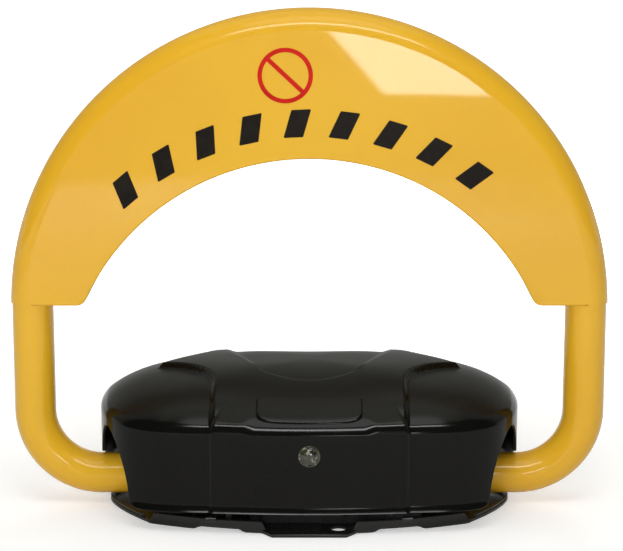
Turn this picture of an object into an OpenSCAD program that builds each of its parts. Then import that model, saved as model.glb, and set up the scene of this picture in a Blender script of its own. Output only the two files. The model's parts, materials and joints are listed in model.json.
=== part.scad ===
// Folding parking lock: a yellow tube loop with a crescent sign on a low motor base.
// Units are millimetres. Z is up, X runs along the hinge line, the front faces -Y.

/* [Loop] */
// Outside diameter of the loop tube
tube_d = 32; // [25:1:42]
// Wall of the loop tube
tube_wall = 2; // [1.5:0.5:3]
// Radius of the arch, to the middle of the tube
arch_r = 216; // [180:1:260]
// Height of the arch's centre above the hinge line
arch_rise = 133; // [110:1:180]
// Radius of the two lower bends, to the middle of the tube
bend_r = 52; // [45:1:70]

/* [Sign] */
// Thickness of the sign's sheet
skin = 1; // [0.8:0.1:2]
// Radius of the sign's lower, hollow edge
sign_arc_r = 191; // [170:1:215]
// Height of that arc's centre above the hinge line
sign_arc_rise = 61; // [40:1:90]
// Height of the sign's two lower ends above the hinge line
sign_end_rise = 138; // [120:1:170]

/* [Base] */
// Height of the hinge line above the ground
axis_z = 22; // [21:0.5:26]
// Thickness of the base plate
plate_t = 2.5; // [2:0.5:4]
// Half width of the base plate
plate_half = 158; // [150:1:162]
// Height of the plate's turned-up lip above the ground
lip_h = 10; // [6:0.5:10.5]
// Radius of the circle that the four anchor holes lie on
anchor_r = 85; // [80:1:88]
// Diameter of an anchor hole
anchor_d = 12; // [8:0.5:14]
// Turn of the first anchor hole from the front, about Z
anchor_turn = 15; // [10:1:20]

/* [Cover] */
// Half width of the cover
cover_a = 163.5; // [158:0.5:166]
// Half depth of the cover beside its raised middle
cover_b = 86; // [84:1:90]
// Sheet of the cover
cover_t = 2; // [1.5:0.25:3]
// Height of the cover's lower edge above the ground
cover_low = 16.5; // [15:0.5:20]
// Height of the cover's rim above the hinge line
rim_rise = 60; // [50:1:70]
// Rise of the domed top above the rim
dome_h = 34; // [20:1:40]
// Distance of a side arch's middle in front of the hinge line
gate_mid = 45; // [42:0.5:47]
// Half width of a side arch
gate_half = 25.5; // [22:0.5:26]
// Height of a side arch
gate_h = 56.5; // [45:0.5:57]

/* [Drive] */
// Tooth size of the sector and the pinion
gear_m = 1.5; // [1:0.25:2]
// Teeth the sector would have as a full wheel
sector_teeth = 48; // [40:2:52]
// Teeth on the pinion
pinion_teeth = 14; // [12:2:16]
// Diameter of the main shaft
shaft_d = 20; // [16:1:22]

/* [Hidden] */
$fn = 64;
fit = 0.05;
tube_r = tube_d / 2;
tube_in = tube_r - tube_wall;
arch_z = axis_z + arch_rise;
bend_z = axis_z + bend_r;
skin_y = tube_r + fit;
sign_z = axis_z + sign_end_rise;
sign_arc_z = axis_z + sign_arc_rise;
sign_end_x = sqrt(pow(sign_arc_r, 2) - pow(sign_z - sign_arc_z, 2));
shaft_r = shaft_d / 2;
bush_r = shaft_r + 4;
bush_flange = 3;
collar_w = 7;
bracket_x = 98;
bracket_t = 8;
bracket_r = 24;
foot_t = 4;
foot_w = 20;
foot_half = 36;
stub_x = bracket_x + foot_w + 6;
stub_flange = 4;
plug_l = 32;
pin_x = stub_x + plug_l / 2;
stub_pin_r = 4;
m6_r = 3;
m4_r = 2;
tab_t = 3;
sector_x = -58;
sector_w = 8;
hub_r = shaft_r + 7;
hub_l = 4;
sector_pin_r = 2.5;
sector_pin_x = sector_x - sector_w / 2 - hub_l / 2;
magnet_r = 28;
magnet_t = 2.5;
magnet_x = sector_x - sector_w / 2 - magnet_t;
sensor_t = 2.5;
sensor_x = magnet_x - 2 - sensor_t;
sensor_plate_t = 2;
sensor_foot = 16;
sector_r = gear_m * sector_teeth / 2;
pinion_r = gear_m * pinion_teeth / 2;
pinion_z = axis_z + sector_r + pinion_r;
pinion_shaft_r = 4;
pressure = 25;
backlash = 0.14;
box_x = -46;
box_w = 30;
box_half = 26;
box_h = 56;
lid_t = 2.5;
bridge_z = axis_z + 14.5;
bridge_half = box_half + 7;
bridge_t = 3;
motor_x = box_x + box_w / 2;
motor_z = 58;
motor_r = 16;
motor_end = 64;
cap_t = 4;
cell_r = 16.2;
cell_l = 60;
cell_gap = 2.5;
cell_tip = 1.5;
cell_play = 0.3;
tray_x = -45;
tray_h = 42;
tray_wall = 1.5;
tray_floor = 2;
tray_w = 2 * (tray_wall + cell_l) + cell_gap + cell_tip + 10 * cell_play;
tray_d = 2 * (tray_wall + cell_r + cell_play);
tray_gap = 1;
tray_y = -bridge_half - tray_gap - tray_d;
tray_end = tray_x + tray_w;
stack_z = plate_t + tray_floor + 0.2;
stack_h = 4 * cell_r + 0.2;
strap_w = 18;
strap_t = 2;
case_x = 44;
case_w = 50;
case_y = 36;
case_d = 34;
case_h = 28;
hinge_y = -80;
hinge_z = 18;
hinge_x = 50;
knuckle_w = 16;
cheek_w = 4.5;
cheek_d = 5.5;
knuckle_r = 4.5;
hinge_pin_r = 3;
rim_z = axis_z + rim_rise;
lens_z = axis_z + 39;
lens_r = 8.75;
lens_flange = 1.2;
lens_stem_r = 6.9;
lens_stem = 9;
dome_r = 7.2;
lock_z = 50;
lock_r = 8;
plug_r = 6;
cam_y = 69;
cam_half = 7;
cam_t = 2;
cam_l = 30;
cam_screw_r = 2.5;
strike_x = 2 * cam_half;
strike_w = 22;
strike_y = 60;
strike_d = 16;
yellow = [0.96, 0.74, 0.05];
black = [0.09, 0.09, 0.10];
steel = [0.62, 0.63, 0.65];
zinc = [0.78, 0.78, 0.74];
grey = [0.35, 0.36, 0.38];
green = [0.10, 0.36, 0.22];
brass = [0.80, 0.66, 0.32];
white = [0.92, 0.92, 0.90];

// Which sub-part to make

// Smooth step from 0 to 1
function ss(t) = let(u = max(0, min(1, t))) u * u * (3 - 2 * u);

// Plan of the cover: half depth at x, with the raised middle, and half width at y
corner_power = 6.2;
function plain_y(x) = cover_b * sqrt(max(0, 1 - pow(abs(x) / cover_a, corner_power)));
crease_x = 73;
crease_y = 52;
crease_flare = 44;
side_step = 2;
front_bulge = 3.8;
function proud(x) = side_step * (1 - ss((abs(x) - crease_x + 3) / 7))
    + front_bulge * max(0, 1 - pow(x / (crease_x - 1), 2));
function plan_y(x) = plain_y(x) + proud(x);
function plan_x(y) = cover_a * pow(max(0, 1 - pow(abs(y) / cover_b, 2)), 1 / corner_power);

// A quarter of the cover's outline, from the front's middle to the side's middle
front_steps = 22;
front_reach = 132;
gate_steps = 14;
tongue_steps = 3;
gate_out = gate_mid + gate_half;
corner_y = (plain_y(front_reach) + gate_out) / 2;
function gate_y(j) = j <= gate_steps ? gate_mid + gate_half * cos(180 * j / gate_steps)
    : (gate_mid - gate_half) * (1 - (j - gate_steps) / tongue_steps);
quarter = concat(
    [for (i = [0:front_steps]) let(x = front_reach * i / front_steps) [x, -plan_y(x)]],
    [[plan_x(corner_y), -corner_y]],
    [for (j = [0:gate_steps + tongue_steps]) [plan_x(gate_y(j)), -gate_y(j)]]
);
q_last = len(quarter) - 1;
outline = concat(
    quarter,
    [for (i = [q_last - 1:-1:0]) [quarter[i][0], -quarter[i][1]]],
    [for (i = [1:q_last]) [-quarter[i][0], -quarter[i][1]]],
    [for (i = [q_last - 1:-1:1]) [-quarter[i][0], quarter[i][1]]]
);

// Lower edge of the cover's wall: level, with an arch at each side and a tongue over the tube
tongue_gap = 5;
tongue_z = axis_z + tube_r + tongue_gap;
tongue_back = tube_r + tongue_gap;
function arch_low(y) = cover_low + gate_h * sqrt(max(0, 1 - pow((y - gate_mid) / gate_half, 2)));
function wall_low(p) = let(y = -p[1])
    abs(p[0]) < front_reach || y >= gate_out || y <= -tongue_back ? cover_low
    : max(arch_low(y), y < gate_mid ? tongue_z : cover_low);

// Top of the cover at a share of the way out to an outline point
function flare(y) = abs(y) > crease_y ? crease_x : crease_x + crease_flare * pow(1 - abs(y) / crease_y, 2);
function scoop(x, y) = ss((abs(x) - flare(y)) / 8 + 0.5);
pocket_half = 37;
pocket_front = 48;
pocket_back = 60;
pocket_deep = 2.5;
pocket_bow = 13;
pocket_slant = 0.4;
pocket_widest = 62;
pocket_mid = 0.15;
function pocket(x, y) = let(
    half = min(pocket_widest, pocket_half + (y + pocket_front - pocket_bow) * pocket_slant)
)
    (pocket_mid + (1 - pocket_mid) * min(1, pow(x / pocket_widest, 2)))
    * ss((half - abs(x)) / 5 + 0.5)
    * ss((y + pocket_front - pocket_bow * pow(x / pocket_half, 2)) / 5 + 0.5)
    * ss((pocket_back - y) / 8 + 0.5);
side_power = 5.2;
front_power = 2.5;
side_sink = 7;
side_rise = 5.5;
function side_share(p) = let(u = pow(p[0] / cover_a, 2), v = pow(p[1] / cover_b, 2)) u / (u + v);
function power(p) = front_power + (side_power - front_power) * side_share(p);
function rise(p) = side_rise * pow(side_share(p), 2);
function dip(p, rho) = 3.5 * ss((52 - abs(p[0])) / 10) * pow(rho, 8);
function top_z(p, rho) = let(x = p[0] * rho, y = p[1] * rho)
    rim_z + rise(p) + (dome_h - rise(p)) * (1 - pow(rho, power(p)))
    - (side_step + side_sink * (1 - rho)) * scoop(x, y)
    - pocket_deep * pocket(x, y)
    - (abs(p[1]) > 70 ? dip(p, rho) : 0);

// Rings of the cover's closed skin, from the middle of the top out, down, in and back
out_rho = [0.10, 0.22, 0.34, 0.45, 0.55, 0.64, 0.72, 0.80, 0.87, 0.93, 0.97];
in_rho = [0.96, 0.88, 0.76, 0.60, 0.42, 0.22];
in_x = (cover_a - cover_t) / cover_a;
in_y = (cover_b - cover_t) / cover_b;
top_t = cover_t + 0.5;
function inner(p) = [p[0] * in_x, p[1] * in_y];
function out_ring(rho) = [for (p = outline) [p[0] * rho, p[1] * rho, top_z(p, rho)]];
function in_ring(rho) =
    [for (p = outline) let(q = inner(p)) [q[0] * rho, q[1] * rho, top_z(p, rho) - top_t]];
rings = concat(
    [for (rho = out_rho) out_ring(rho)],
    [[for (p = outline) [p[0] * 0.993, p[1] * 0.993, top_z(p, 1) - 1.2]]],
    [[for (p = outline) [p[0], p[1], top_z(p, 1) - 4.5]]],
    [[for (p = outline) [p[0], p[1], wall_low(p)]]],
    [[for (p = outline) let(q = inner(p)) [q[0], q[1], wall_low(p)]]],
    [[for (p = outline) let(q = inner(p)) [q[0], q[1], top_z(p, 1) - 6]]],
    [for (rho = in_rho) in_ring(rho)]
);
ring_n = len(outline);
skin_points = concat(
    [for (r = rings) for (p = r) p],
    [[0, 0, top_z([0, -cover_b], 0)], [0, 0, top_z([0, -cover_b], 0) - top_t]]
);
pole_out = len(rings) * ring_n;
skin_faces = concat(
    [for (i = [0:ring_n - 1]) [pole_out, (i + 1) % ring_n, i]],
    [for (j = [0:len(rings) - 2]) for (i = [0:ring_n - 1])
        [j * ring_n + i, j * ring_n + (i + 1) % ring_n, (j + 1) * ring_n + (i + 1) % ring_n]],
    [for (j = [0:len(rings) - 2]) for (i = [0:ring_n - 1])
        [j * ring_n + i, (j + 1) * ring_n + (i + 1) % ring_n, (j + 1) * ring_n + i]],
    [for (i = [0:ring_n - 1])
        [pole_out + 1, (len(rings) - 1) * ring_n + i, (len(rings) - 1) * ring_n + (i + 1) % ring_n]]
);

// Plan of the base plate: bowed front and back edges, and tapered ends
bow = 90.5;
bow_k = 0.00178;
end_x = 120;
end_y = bow - bow_k * end_x * end_x;
function edge_y(x) = bow - bow_k * x * x;
function edge_x(y) = end_x + (plate_half - end_x) * (1 - pow(abs(y) / end_y, 1.5));
plate_quarter = concat(
    [for (i = [0:12]) let(x = end_x * i / 12) [x, -edge_y(x)]],
    [for (j = [1:8]) let(y = end_y * (1 - j / 8)) [edge_x(y), -y]]
);
p_last = len(plate_quarter) - 1;
plate_outline = concat(
    plate_quarter,
    [for (i = [p_last - 1:-1:0]) [plate_quarter[i][0], -plate_quarter[i][1]]],
    [for (i = [1:p_last]) [-plate_quarter[i][0], -plate_quarter[i][1]]],
    [for (i = [p_last - 1:-1:1]) [-plate_quarter[i][0], plate_quarter[i][1]]]
);
tab_y = 98;
tab_half = 29;
tab_root = 36;
lip_end = end_x - 2;
lug_x = 74;
lug_half = 4;
lug_y = 85.2;
buffer_d = 4.5;
lug_z = lip_h + 2;
end_lip_h = 5;
end_lip_y = 54;
anchors = [for (i = [0:3]) let(a = anchor_turn - 90 + 90 * i) [anchor_r * cos(a), anchor_r * sin(a)]];
bracket_holes = [for (s = [-1, 1]) for (t = [-1, 1])
    [s * (bracket_x + (bracket_t + foot_w) / 2), t * (foot_half - 7)]];
bridge_holes = [for (t = [-1, 1]) [motor_x, t * (bridge_half - 10)]];
sensor_holes = [for (k = [0.31, 0.69]) [sensor_x - sensor_plate_t - k * sensor_foot, -magnet_r - 15]];
strike_holes = [for (k = [0.27, 0.73]) [strike_x + k * strike_w, strike_y - 10]];

// Involute gear outlines
function inv(a) = tan(a) * 180 / PI - a;
function flank(r, rb) = r <= rb ? 0 : inv(acos(rb / r));
function half_tooth(r, z) = let(rp = gear_m * z / 2, rb = rp * cos(pressure))
    90 / z + inv(pressure) - flank(r, rb) - backlash / rp * 180 / PI / 2;
function tooth_rs(z) = let(rp = gear_m * z / 2, low = rp - 1.3 * gear_m, high = rp + 0.95 * gear_m)
    [for (i = [0:4]) low + (high - low) * i / 4];
function polar(r, a) = [r * cos(a), r * sin(a)];
function tooth(z, a) = concat(
    [for (r = tooth_rs(z)) polar(r, a - half_tooth(r, z))],
    [for (i = [4:-1:0]) let(r = tooth_rs(z)[i]) polar(r, a + half_tooth(r, z))]
);
function teeth(z, start, count) = [for (k = [0:count - 1]) for (p = tooth(z, start + 360 / z * k)) p];
sector_start = 90 - 2 * 360 / sector_teeth;
sector_count = 17;
sector_stop = sector_start + (sector_count - 1) * 360 / sector_teeth;
pinion_start = 270 + 180 / pinion_teeth;

module along_x(x, l, r) {
    translate([x, 0, 0]) rotate([0, 90, 0]) cylinder(r = r, h = l);
}

// A profile drawn in Y and Z, pulled along X
module pull_x(x, l) {
    translate([x, 0, 0]) rotate([90, 0, 90]) linear_extrude(l) children();
}

// A pin along Y, starting at y
module along_y(y, l, r) {
    translate([0, y + l, 0]) rotate([90, 0, 0]) cylinder(r = r, h = l);
}

module block(x, y, z, size) {
    translate([x, y, z]) cube(size);
}

module ring2d(out, in) {
    difference() {
        circle(out);
        circle(in);
    }
}

// A hexagon-head screw whose head sits at z and whose shank reaches the depth given
module hex_screw(r, z, depth) {
    translate([0, 0, z]) cylinder(r = r * 1.92, h = r * 1.3, $fn = 6);
    translate([0, 0, z - depth]) cylinder(r = r, h = depth + 0.1);
}

module pan_screw(z, depth) {
    translate([0, 0, z]) cylinder(r = m4_r * 1.9, h = m4_r * 1.2);
    translate([0, 0, z - depth]) cylinder(r = m4_r, h = depth + 0.1);
}

module holes(list, r, z, h) {
    for (p = list) translate([p[0], p[1], z]) cylinder(r = r, h = h);
}

module lip(s) {
    mirror([0, s, 0]) for (t = [0, 1]) mirror([t, 0, 0])
        linear_extrude(lip_h) polygon(concat(
            [for (i = [0:7]) let(x = tab_root + (lip_end - tab_root) * i / 7) [x, -edge_y(x)]],
            [for (i = [7:-1:0]) let(x = tab_root + (lip_end - tab_root) * i / 7) [x, -edge_y(x) + plate_t]]
        ));
}

module end_lip() {
    linear_extrude(end_lip_h) polygon(concat(
        [for (j = [-6:6]) let(y = end_lip_y * j / 6) [edge_x(y), y]],
        [for (j = [6:-1:-6]) let(y = end_lip_y * j / 6) [edge_x(y) - plate_t, y]]
    ));
}

module base_plate() {
    color(black) difference() {
        union() {
            linear_extrude(plate_t) polygon(plate_outline);
            for (s = [0, 1]) {
                lip(s);
                mirror([s, 0, 0]) end_lip();
                mirror([0, s, 0]) linear_extrude(plate_t) polygon([
                    [-tab_root, -tab_y + 18], [-tab_root, -edge_y(tab_root)], [-tab_half, -tab_y],
                    [tab_half, -tab_y], [tab_root, -edge_y(tab_root)], [tab_root, -tab_y + 18]
                ]);
                for (x = [-lug_x, lug_x]) mirror([0, s, 0])
                    block(x - lug_half, -lug_y, lug_z - plate_t,
                        [2 * lug_half, lug_y - edge_y(lug_x) + 2, plate_t]);
            }
        }
        holes(anchors, anchor_d / 2, -1, plate_t + 2);
        holes(bracket_holes, m6_r + fit, -1, plate_t + 2);
        holes(bridge_holes, m6_r + fit, -1, plate_t + 2);
        holes(sensor_holes, m4_r + fit, -1, plate_t + 2);
        holes(strike_holes, m4_r + fit, -1, plate_t + 2);
        // the lip's low relief slots, front and back
        for (s = [-1, 1]) for (t = [-1, 1])
            block(s * lug_x - 12, t * edge_y(lug_x) - 8, plate_t, [24, 16, 2.5]);
    }
}

module brackets() {
    color(steel) for (t = [0, 1]) mirror([t, 0, 0]) difference() {
        union() {
            block(bracket_x, -foot_half, plate_t, [foot_w, 2 * foot_half, foot_t]);
            block(bracket_x, -bracket_r, plate_t, [bracket_t, 2 * bracket_r, axis_z - plate_t]);
            translate([0, 0, axis_z]) along_x(bracket_x, bracket_t, bracket_r);
        }
        translate([0, 0, axis_z]) along_x(bracket_x - 1, bracket_t + 2, bush_r + fit);
        holes(bracket_holes, m6_r + fit, 0, 12);
        block(bracket_x - 1, -foot_half, plate_t - bracket_r, [2 * foot_w, 2 * foot_half, bracket_r]);
    }
}

module bracket_bolts() {
    color(zinc) for (p = bracket_holes)
        translate([p[0], p[1], 0]) hex_screw(m6_r, plate_t + foot_t, foot_t + plate_t - 0.3);
}

module bushes() {
    color(brass) for (t = [0, 1]) mirror([t, 0, 0]) translate([0, 0, axis_z]) difference() {
        union() {
            along_x(bracket_x - 1, bracket_t + 2, bush_r);
            along_x(bracket_x - bush_flange, bush_flange, bush_r + 4);
        }
        along_x(bracket_x - 10, bracket_t + 20, shaft_r + fit);
    }
}

module bridge() {
    color(steel) difference() {
        union() {
            block(box_x - 1, -bridge_half, bridge_z - bridge_t, [box_w + 2, 2 * bridge_half, bridge_t]);
            for (s = [0, 1]) mirror([0, s, 0]) {
                block(box_x - 1, bridge_half - bridge_t, plate_t, [box_w + 2, bridge_t, bridge_z - plate_t]);
                block(box_x - 1, bridge_half - 18, plate_t, [box_w + 2, 18, bridge_t]);
            }
        }
        holes(bridge_holes, m6_r + fit, 0, 12);
    }
}

module bridge_bolts() {
    color(zinc) for (p = bridge_holes)
        translate([p[0], p[1], 0]) hex_screw(m6_r, plate_t + bridge_t, bridge_t + plate_t - 0.3);
}

module gearbox_housing() {
    color(grey) difference() {
        union() {
            block(box_x, -box_half, bridge_z, [box_w, 2 * box_half, box_h]);
            translate([0, 0, pinion_z]) along_x(box_x - 4, 6, 10);
            translate([motor_x, 0, motor_z]) along_y(box_half - 2, 5, motor_r - 1);
        }
        translate([0, 0, pinion_z]) along_x(box_x - 6, 28, pinion_shaft_r + fit);
        for (p = lid_holes) translate([box_x + box_w - 8, p[0], p[1]])
            rotate([0, 90, 0]) cylinder(r = m4_r + fit, h = 10);
    }
}

lid_holes = [for (s = [-1, 1]) for (z = [bridge_z + 6, bridge_z + box_h - 6]) [s * (box_half - 6), z]];

module gearbox_lid() {
    color(steel) difference() {
        block(box_x + box_w, -box_half + 1, bridge_z + 1, [lid_t, 2 * box_half - 2, box_h - 2]);
        for (p = lid_holes) translate([box_x + box_w - 1, p[0], p[1]])
            rotate([0, 90, 0]) cylinder(r = m4_r + fit, h = 10);
    }
}

module motor_can() {
    color(steel) translate([motor_x, 0, motor_z]) along_y(box_half + 3, motor_end - box_half - 3, motor_r);
}

module motor_cap() {
    color(black) translate([motor_x, 0, motor_z]) {
        along_y(motor_end, cap_t, motor_r - 0.5);
        along_y(motor_end + cap_t, 3, 5);
    }
}

function cell_x(i) = tray_x + tray_wall + 5 * cell_play + i * (cell_l + cell_gap);

module battery_tray() {
    color(black) difference() {
        block(tray_x, tray_y, plate_t, [tray_w, tray_d, tray_h]);
        block(tray_x + tray_wall, tray_y + tray_wall, plate_t + tray_floor,
            [tray_w - 2 * tray_wall, tray_d - 2 * tray_wall, tray_h]);
        for (i = [0, 1]) translate([cell_x(i) + cell_l / 2, tray_y, tray_h + plate_t])
            along_y(-tray_d, 3 * tray_d, cell_l / 4);
    }
}

module battery_cells() {
    color(brass) for (i = [0, 1]) for (j = [0, 1])
        translate([cell_x(i), tray_y + tray_d / 2, stack_z + cell_r + j * (2 * cell_r + 0.2)]) {
            along_x(0, cell_l, cell_r);
            along_x(cell_l - 0.1, cell_tip + 0.1, cell_r * 0.28);
        }
}

module battery_strap() {
    high = stack_z - plate_t + stack_h + 0.8;
    color(steel) translate([cell_x(1) - (cell_gap + strap_w) / 2, tray_y, plate_t]) difference() {
        block(0, -strap_t, 0, [strap_w, tray_d + 2 * strap_t, high + strap_t]);
        block(-1, -0.1, -1, [strap_w + 2, tray_d + 0.2, high + 1]);
    }
}

module board_case() {
    color(grey) difference() {
        block(case_x, case_y, plate_t, [case_w, case_d, case_h]);
        block(case_x + 2, case_y + 2, plate_t + 2, [case_w - 4, case_d - 4, case_h]);
    }
}

module board_lid() {
    color(black) {
        block(case_x, case_y, plate_t + case_h, [case_w, case_d, 2]);
        block(case_x + 2.1, case_y + 2.1, plate_t + case_h - 3, [case_w - 4.2, case_d - 4.2, 3.1]);
    }
}

module control_board() {
    color(green) {
        block(case_x + 4, case_y + 4, plate_t + 8, [case_w - 8, case_d - 8, 1.6]);
        for (x = [case_x + 6, case_x + case_w - 12]) for (y = [case_y + 6, case_y + case_d - 12])
            block(x, y, plate_t + 2, [6, 6, 6.1]);
    }
}

module board_parts() {
    color(black) translate([case_x, case_y, plate_t + 9.6]) {
        block(12, 8, 0, [14, 14, 2]);
        block(31, 6, 0, [12, 8, 9]);
        translate([36, 22, 0]) cylinder(r = 4, h = 11);
        translate([10, 26, 0]) cylinder(r = 2.5, h = 7);
    }
}

module antenna() {
    color(black) translate([case_x + case_w - 8, case_y + case_d - 8, plate_t + case_h + 2]) {
        cylinder(r = 5, h = 5);
        cylinder(r = 2, h = 44);
        translate([0, 0, 12]) cylinder(r = 3, h = 32);
    }
}

module buzzer() {
    color(black) translate([case_x + 17, case_y + 17, plate_t + case_h + 2]) difference() {
        cylinder(r = 11, h = 8);
        translate([0, 0, 5]) cylinder(r = 1.5, h = 5);
    }
}

module sensor_plate() {
    out_y = -magnet_r - 8;
    in_y = -magnet_r + 8;
    arm_z = axis_z + magnet_r;
    color(green) pull_x(sensor_x - sensor_plate_t, sensor_plate_t) polygon([
        [out_y - 14, plate_t], [out_y, plate_t], [out_y, axis_z - 7], [in_y, axis_z - 7],
        [in_y, arm_z - 10], [10, arm_z - 10], [10, arm_z + 8], [out_y - 14, arm_z + 8]
    ]);
    color(steel) difference() {
        block(sensor_x - sensor_plate_t - sensor_foot, out_y - 14, plate_t, [sensor_foot, 14, tab_t]);
        holes(sensor_holes, m4_r + fit, 0, 12);
    }
}

module hall_sensors() {
    color(black) {
        block(sensor_x, -magnet_r - 3, axis_z - 3, [sensor_t, 6, 6]);
        block(sensor_x, -3, axis_z + magnet_r - 3, [sensor_t, 6, 6]);
    }
}

module strike_bracket() {
    color(steel) difference() {
        union() {
            block(strike_x, strike_y, plate_t, [strike_w, tab_t, lock_z + cam_half + 0.6 + tab_t - plate_t]);
            block(strike_x, strike_y, lock_z + cam_half + 0.6, [strike_w, strike_d, tab_t]);
            block(strike_x, strike_y - 18, plate_t, [strike_w, 18 + tab_t, tab_t]);
        }
        holes(strike_holes, m4_r + fit, 0, 12);
    }
}

module hinge_brackets() {
    color(steel) for (t = [0, 1]) mirror([t, 0, 0]) difference() {
        union() {
            for (x = [hinge_x - knuckle_w / 2 - cheek_w - 0.5, hinge_x + knuckle_w / 2 + 0.5]) {
                block(x, hinge_y - 0.5, plate_t, [cheek_w, cheek_d, hinge_z - plate_t]);
                translate([0, hinge_y, hinge_z]) along_x(x, cheek_w, knuckle_r + 0.5);
            }
            block(hinge_x - knuckle_w / 2 - cheek_w - 0.5, hinge_y - 0.5, plate_t,
                [knuckle_w + 2 * cheek_w + 1, cheek_d + 2, 2.5]);
        }
        translate([0, hinge_y, hinge_z]) along_x(hinge_x - 2 * knuckle_w, 4 * knuckle_w, hinge_pin_r + fit);
    }
}

module hinge_pins() {
    color(zinc) for (t = [0, 1]) mirror([t, 0, 0]) translate([0, hinge_y, hinge_z])
        along_x(hinge_x - knuckle_w / 2 - cheek_w - 1.5, knuckle_w + 2 * cheek_w + 3, hinge_pin_r);
}

module rear_buffers() {
    color(black) for (x = [-lug_x, lug_x])
        block(x - lug_half, lug_y - buffer_d, lug_z, [2 * lug_half, buffer_d, cover_low - lug_z]);
}

module small_screws() {
    color(zinc) {
        for (p = sensor_holes) translate([p[0], p[1], 0]) pan_screw(plate_t + tab_t, plate_t + tab_t - 0.3);
        for (p = strike_holes) translate([p[0], p[1], 0]) pan_screw(plate_t + tab_t, plate_t + tab_t - 0.3);
        for (p = lid_holes) translate([box_x + box_w + lid_t, p[0], p[1]]) rotate([0, 90, 0]) pan_screw(0, 9);
    }
}

// A round cord through the points given, smoothed between them, with flat ends
cord_sides = 8;
cord_steps = 5;
function unit(v) = v / norm(v);
function pick(pts, i) = pts[max(0, min(len(pts) - 1, i))];
function curve(a, b, c, d, t) = 0.5 * (2 * b + (c - a) * t + (2 * a - 5 * b + 4 * c - d) * t * t
    + (3 * b - a - 3 * c + d) * t * t * t);
function smooth(pts) = concat(
    [for (i = [0:len(pts) - 2]) for (k = [0:cord_steps - 1])
        curve(pick(pts, i - 1), pts[i], pts[i + 1], pick(pts, i + 2), k / cord_steps)],
    [pts[len(pts) - 1]]
);
function heading(path, i) = unit(pick(path, i + 1) - pick(path, i - 1));
function cord_ring(path, i, r) = let(
    t = heading(path, i), u = unit(cross(t, [0.31, 0.53, 0.79])), w = cross(t, u)
) [for (k = [0:cord_sides - 1]) let(a = 360 * k / cord_sides) path[i] + r * (cos(a) * u + sin(a) * w)];
module cord(points, r) {
    path = smooth(points);
    n = len(path);
    m = cord_sides;
    polyhedron(
        points = [for (i = [0:n - 1]) for (p = cord_ring(path, i, r)) p],
        faces = concat(
            [[for (k = [0:m - 1]) k]],
            [for (i = [0:n - 2]) for (k = [0:m - 1]) for (h = [0, 1])
                let(a = i * m + k, b = i * m + (k + 1) % m)
                h == 0 ? [b, a, a + m] : [b, a + m, b + m]],
            [[for (k = [m - 1:-1:0]) (n - 1) * m + k]]
        ),
        convexity = 8
    );
}

module motor_cable() {
    color(black) cord([
        [motor_x + 9, motor_end + cap_t + 0.4, motor_z], [motor_x + 9, motor_end + 7.5, motor_z - 0.5],
        [motor_x + 12, motor_end + 9, motor_z - 16], [-4, 66, 14], [10, 70, 9], [29, 70, 9],
        [case_x - 6, 66, 11], [case_x - 0.5, 66, 11]
    ], 1.6);
}

module battery_cable() {
    color(black) cord([
        [tray_end + 0.5, tray_y + 20, 34], [tray_end + 6, tray_y + 20, 34], [tray_end + 8, -38, 42],
        [tray_end + 3, -10, 50], [case_x + 40, 14, 44], [case_x + 32, 28, 20],
        [case_x + 30, case_y - 5, 15], [case_x + 30, case_y - 0.5, 15]
    ], 1.6);
}

module loop_tube() {
    color(yellow) difference() {
        union() {
            translate([0, 0, arch_z]) rotate([90, 0, 0]) rotate_extrude(angle = 180)
                translate([arch_r, 0]) ring2d(tube_r, tube_in);
            for (t = [0, 1]) mirror([t, 0, 0]) {
                translate([arch_r, 0, bend_z]) linear_extrude(arch_z - bend_z) ring2d(tube_r, tube_in);
                translate([arch_r - bend_r, 0, bend_z]) rotate([90, 0, 0]) rotate([0, 0, -90])
                    rotate_extrude(angle = 90) translate([bend_r, 0]) ring2d(tube_r, tube_in);
                translate([stub_x, 0, axis_z]) rotate([0, 90, 0])
                    linear_extrude(arch_r - bend_r - stub_x) ring2d(tube_r, tube_in);
            }
        }
        for (s = [-1, 1]) translate([s * pin_x, 0, axis_z]) along_y(-tube_d, 2 * tube_d, stub_pin_r + fit);
    }
}

// The sign's flat face, drawn in X and Z
module crescent() {
    difference() {
        intersection() {
            translate([0, arch_z]) circle(arch_r);
            translate([-arch_r - 20, sign_z]) square([2 * arch_r + 40, 2 * arch_r]);
        }
        translate([0, sign_arc_z]) circle(sign_arc_r);
    }
}

module sign_front() {
    color(yellow) translate([0, -skin_y, 0]) rotate([90, 0, 0]) linear_extrude(skin) crescent();
}

module sign_back() {
    color(yellow) translate([0, skin_y + skin, 0]) rotate([90, 0, 0]) linear_extrude(skin) crescent();
}

module sign_rim() {
    start = asin((sign_z - arch_z) / arch_r);
    color(yellow) translate([0, 0, arch_z]) rotate([90, 0, 0]) rotate([0, 0, start])
        rotate_extrude(angle = 180 - 2 * start) translate([arch_r, 0]) intersection() {
            ring2d(skin_y + skin, skin_y);
            translate([0, -30]) square([30, 60]);
        }
}

module sign_edge() {
    color(yellow) {
        translate([0, skin_y, sign_arc_z]) rotate([90, 0, 0]) linear_extrude(2 * skin_y) intersection() {
            ring2d(sign_arc_r + skin, sign_arc_r);
            translate([-arch_r, sign_z - sign_arc_z]) square([2 * arch_r, 2 * arch_r]);
        }
        for (t = [0, 1]) mirror([t, 0, 0]) difference() {
            block(sign_end_x, -skin_y, sign_z, [arch_r - sign_end_x, 2 * skin_y, skin]);
            translate([arch_r, 0, sign_z - 1]) cylinder(r = tube_r + 0.2, h = skin + 2);
        }
    }
}

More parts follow.
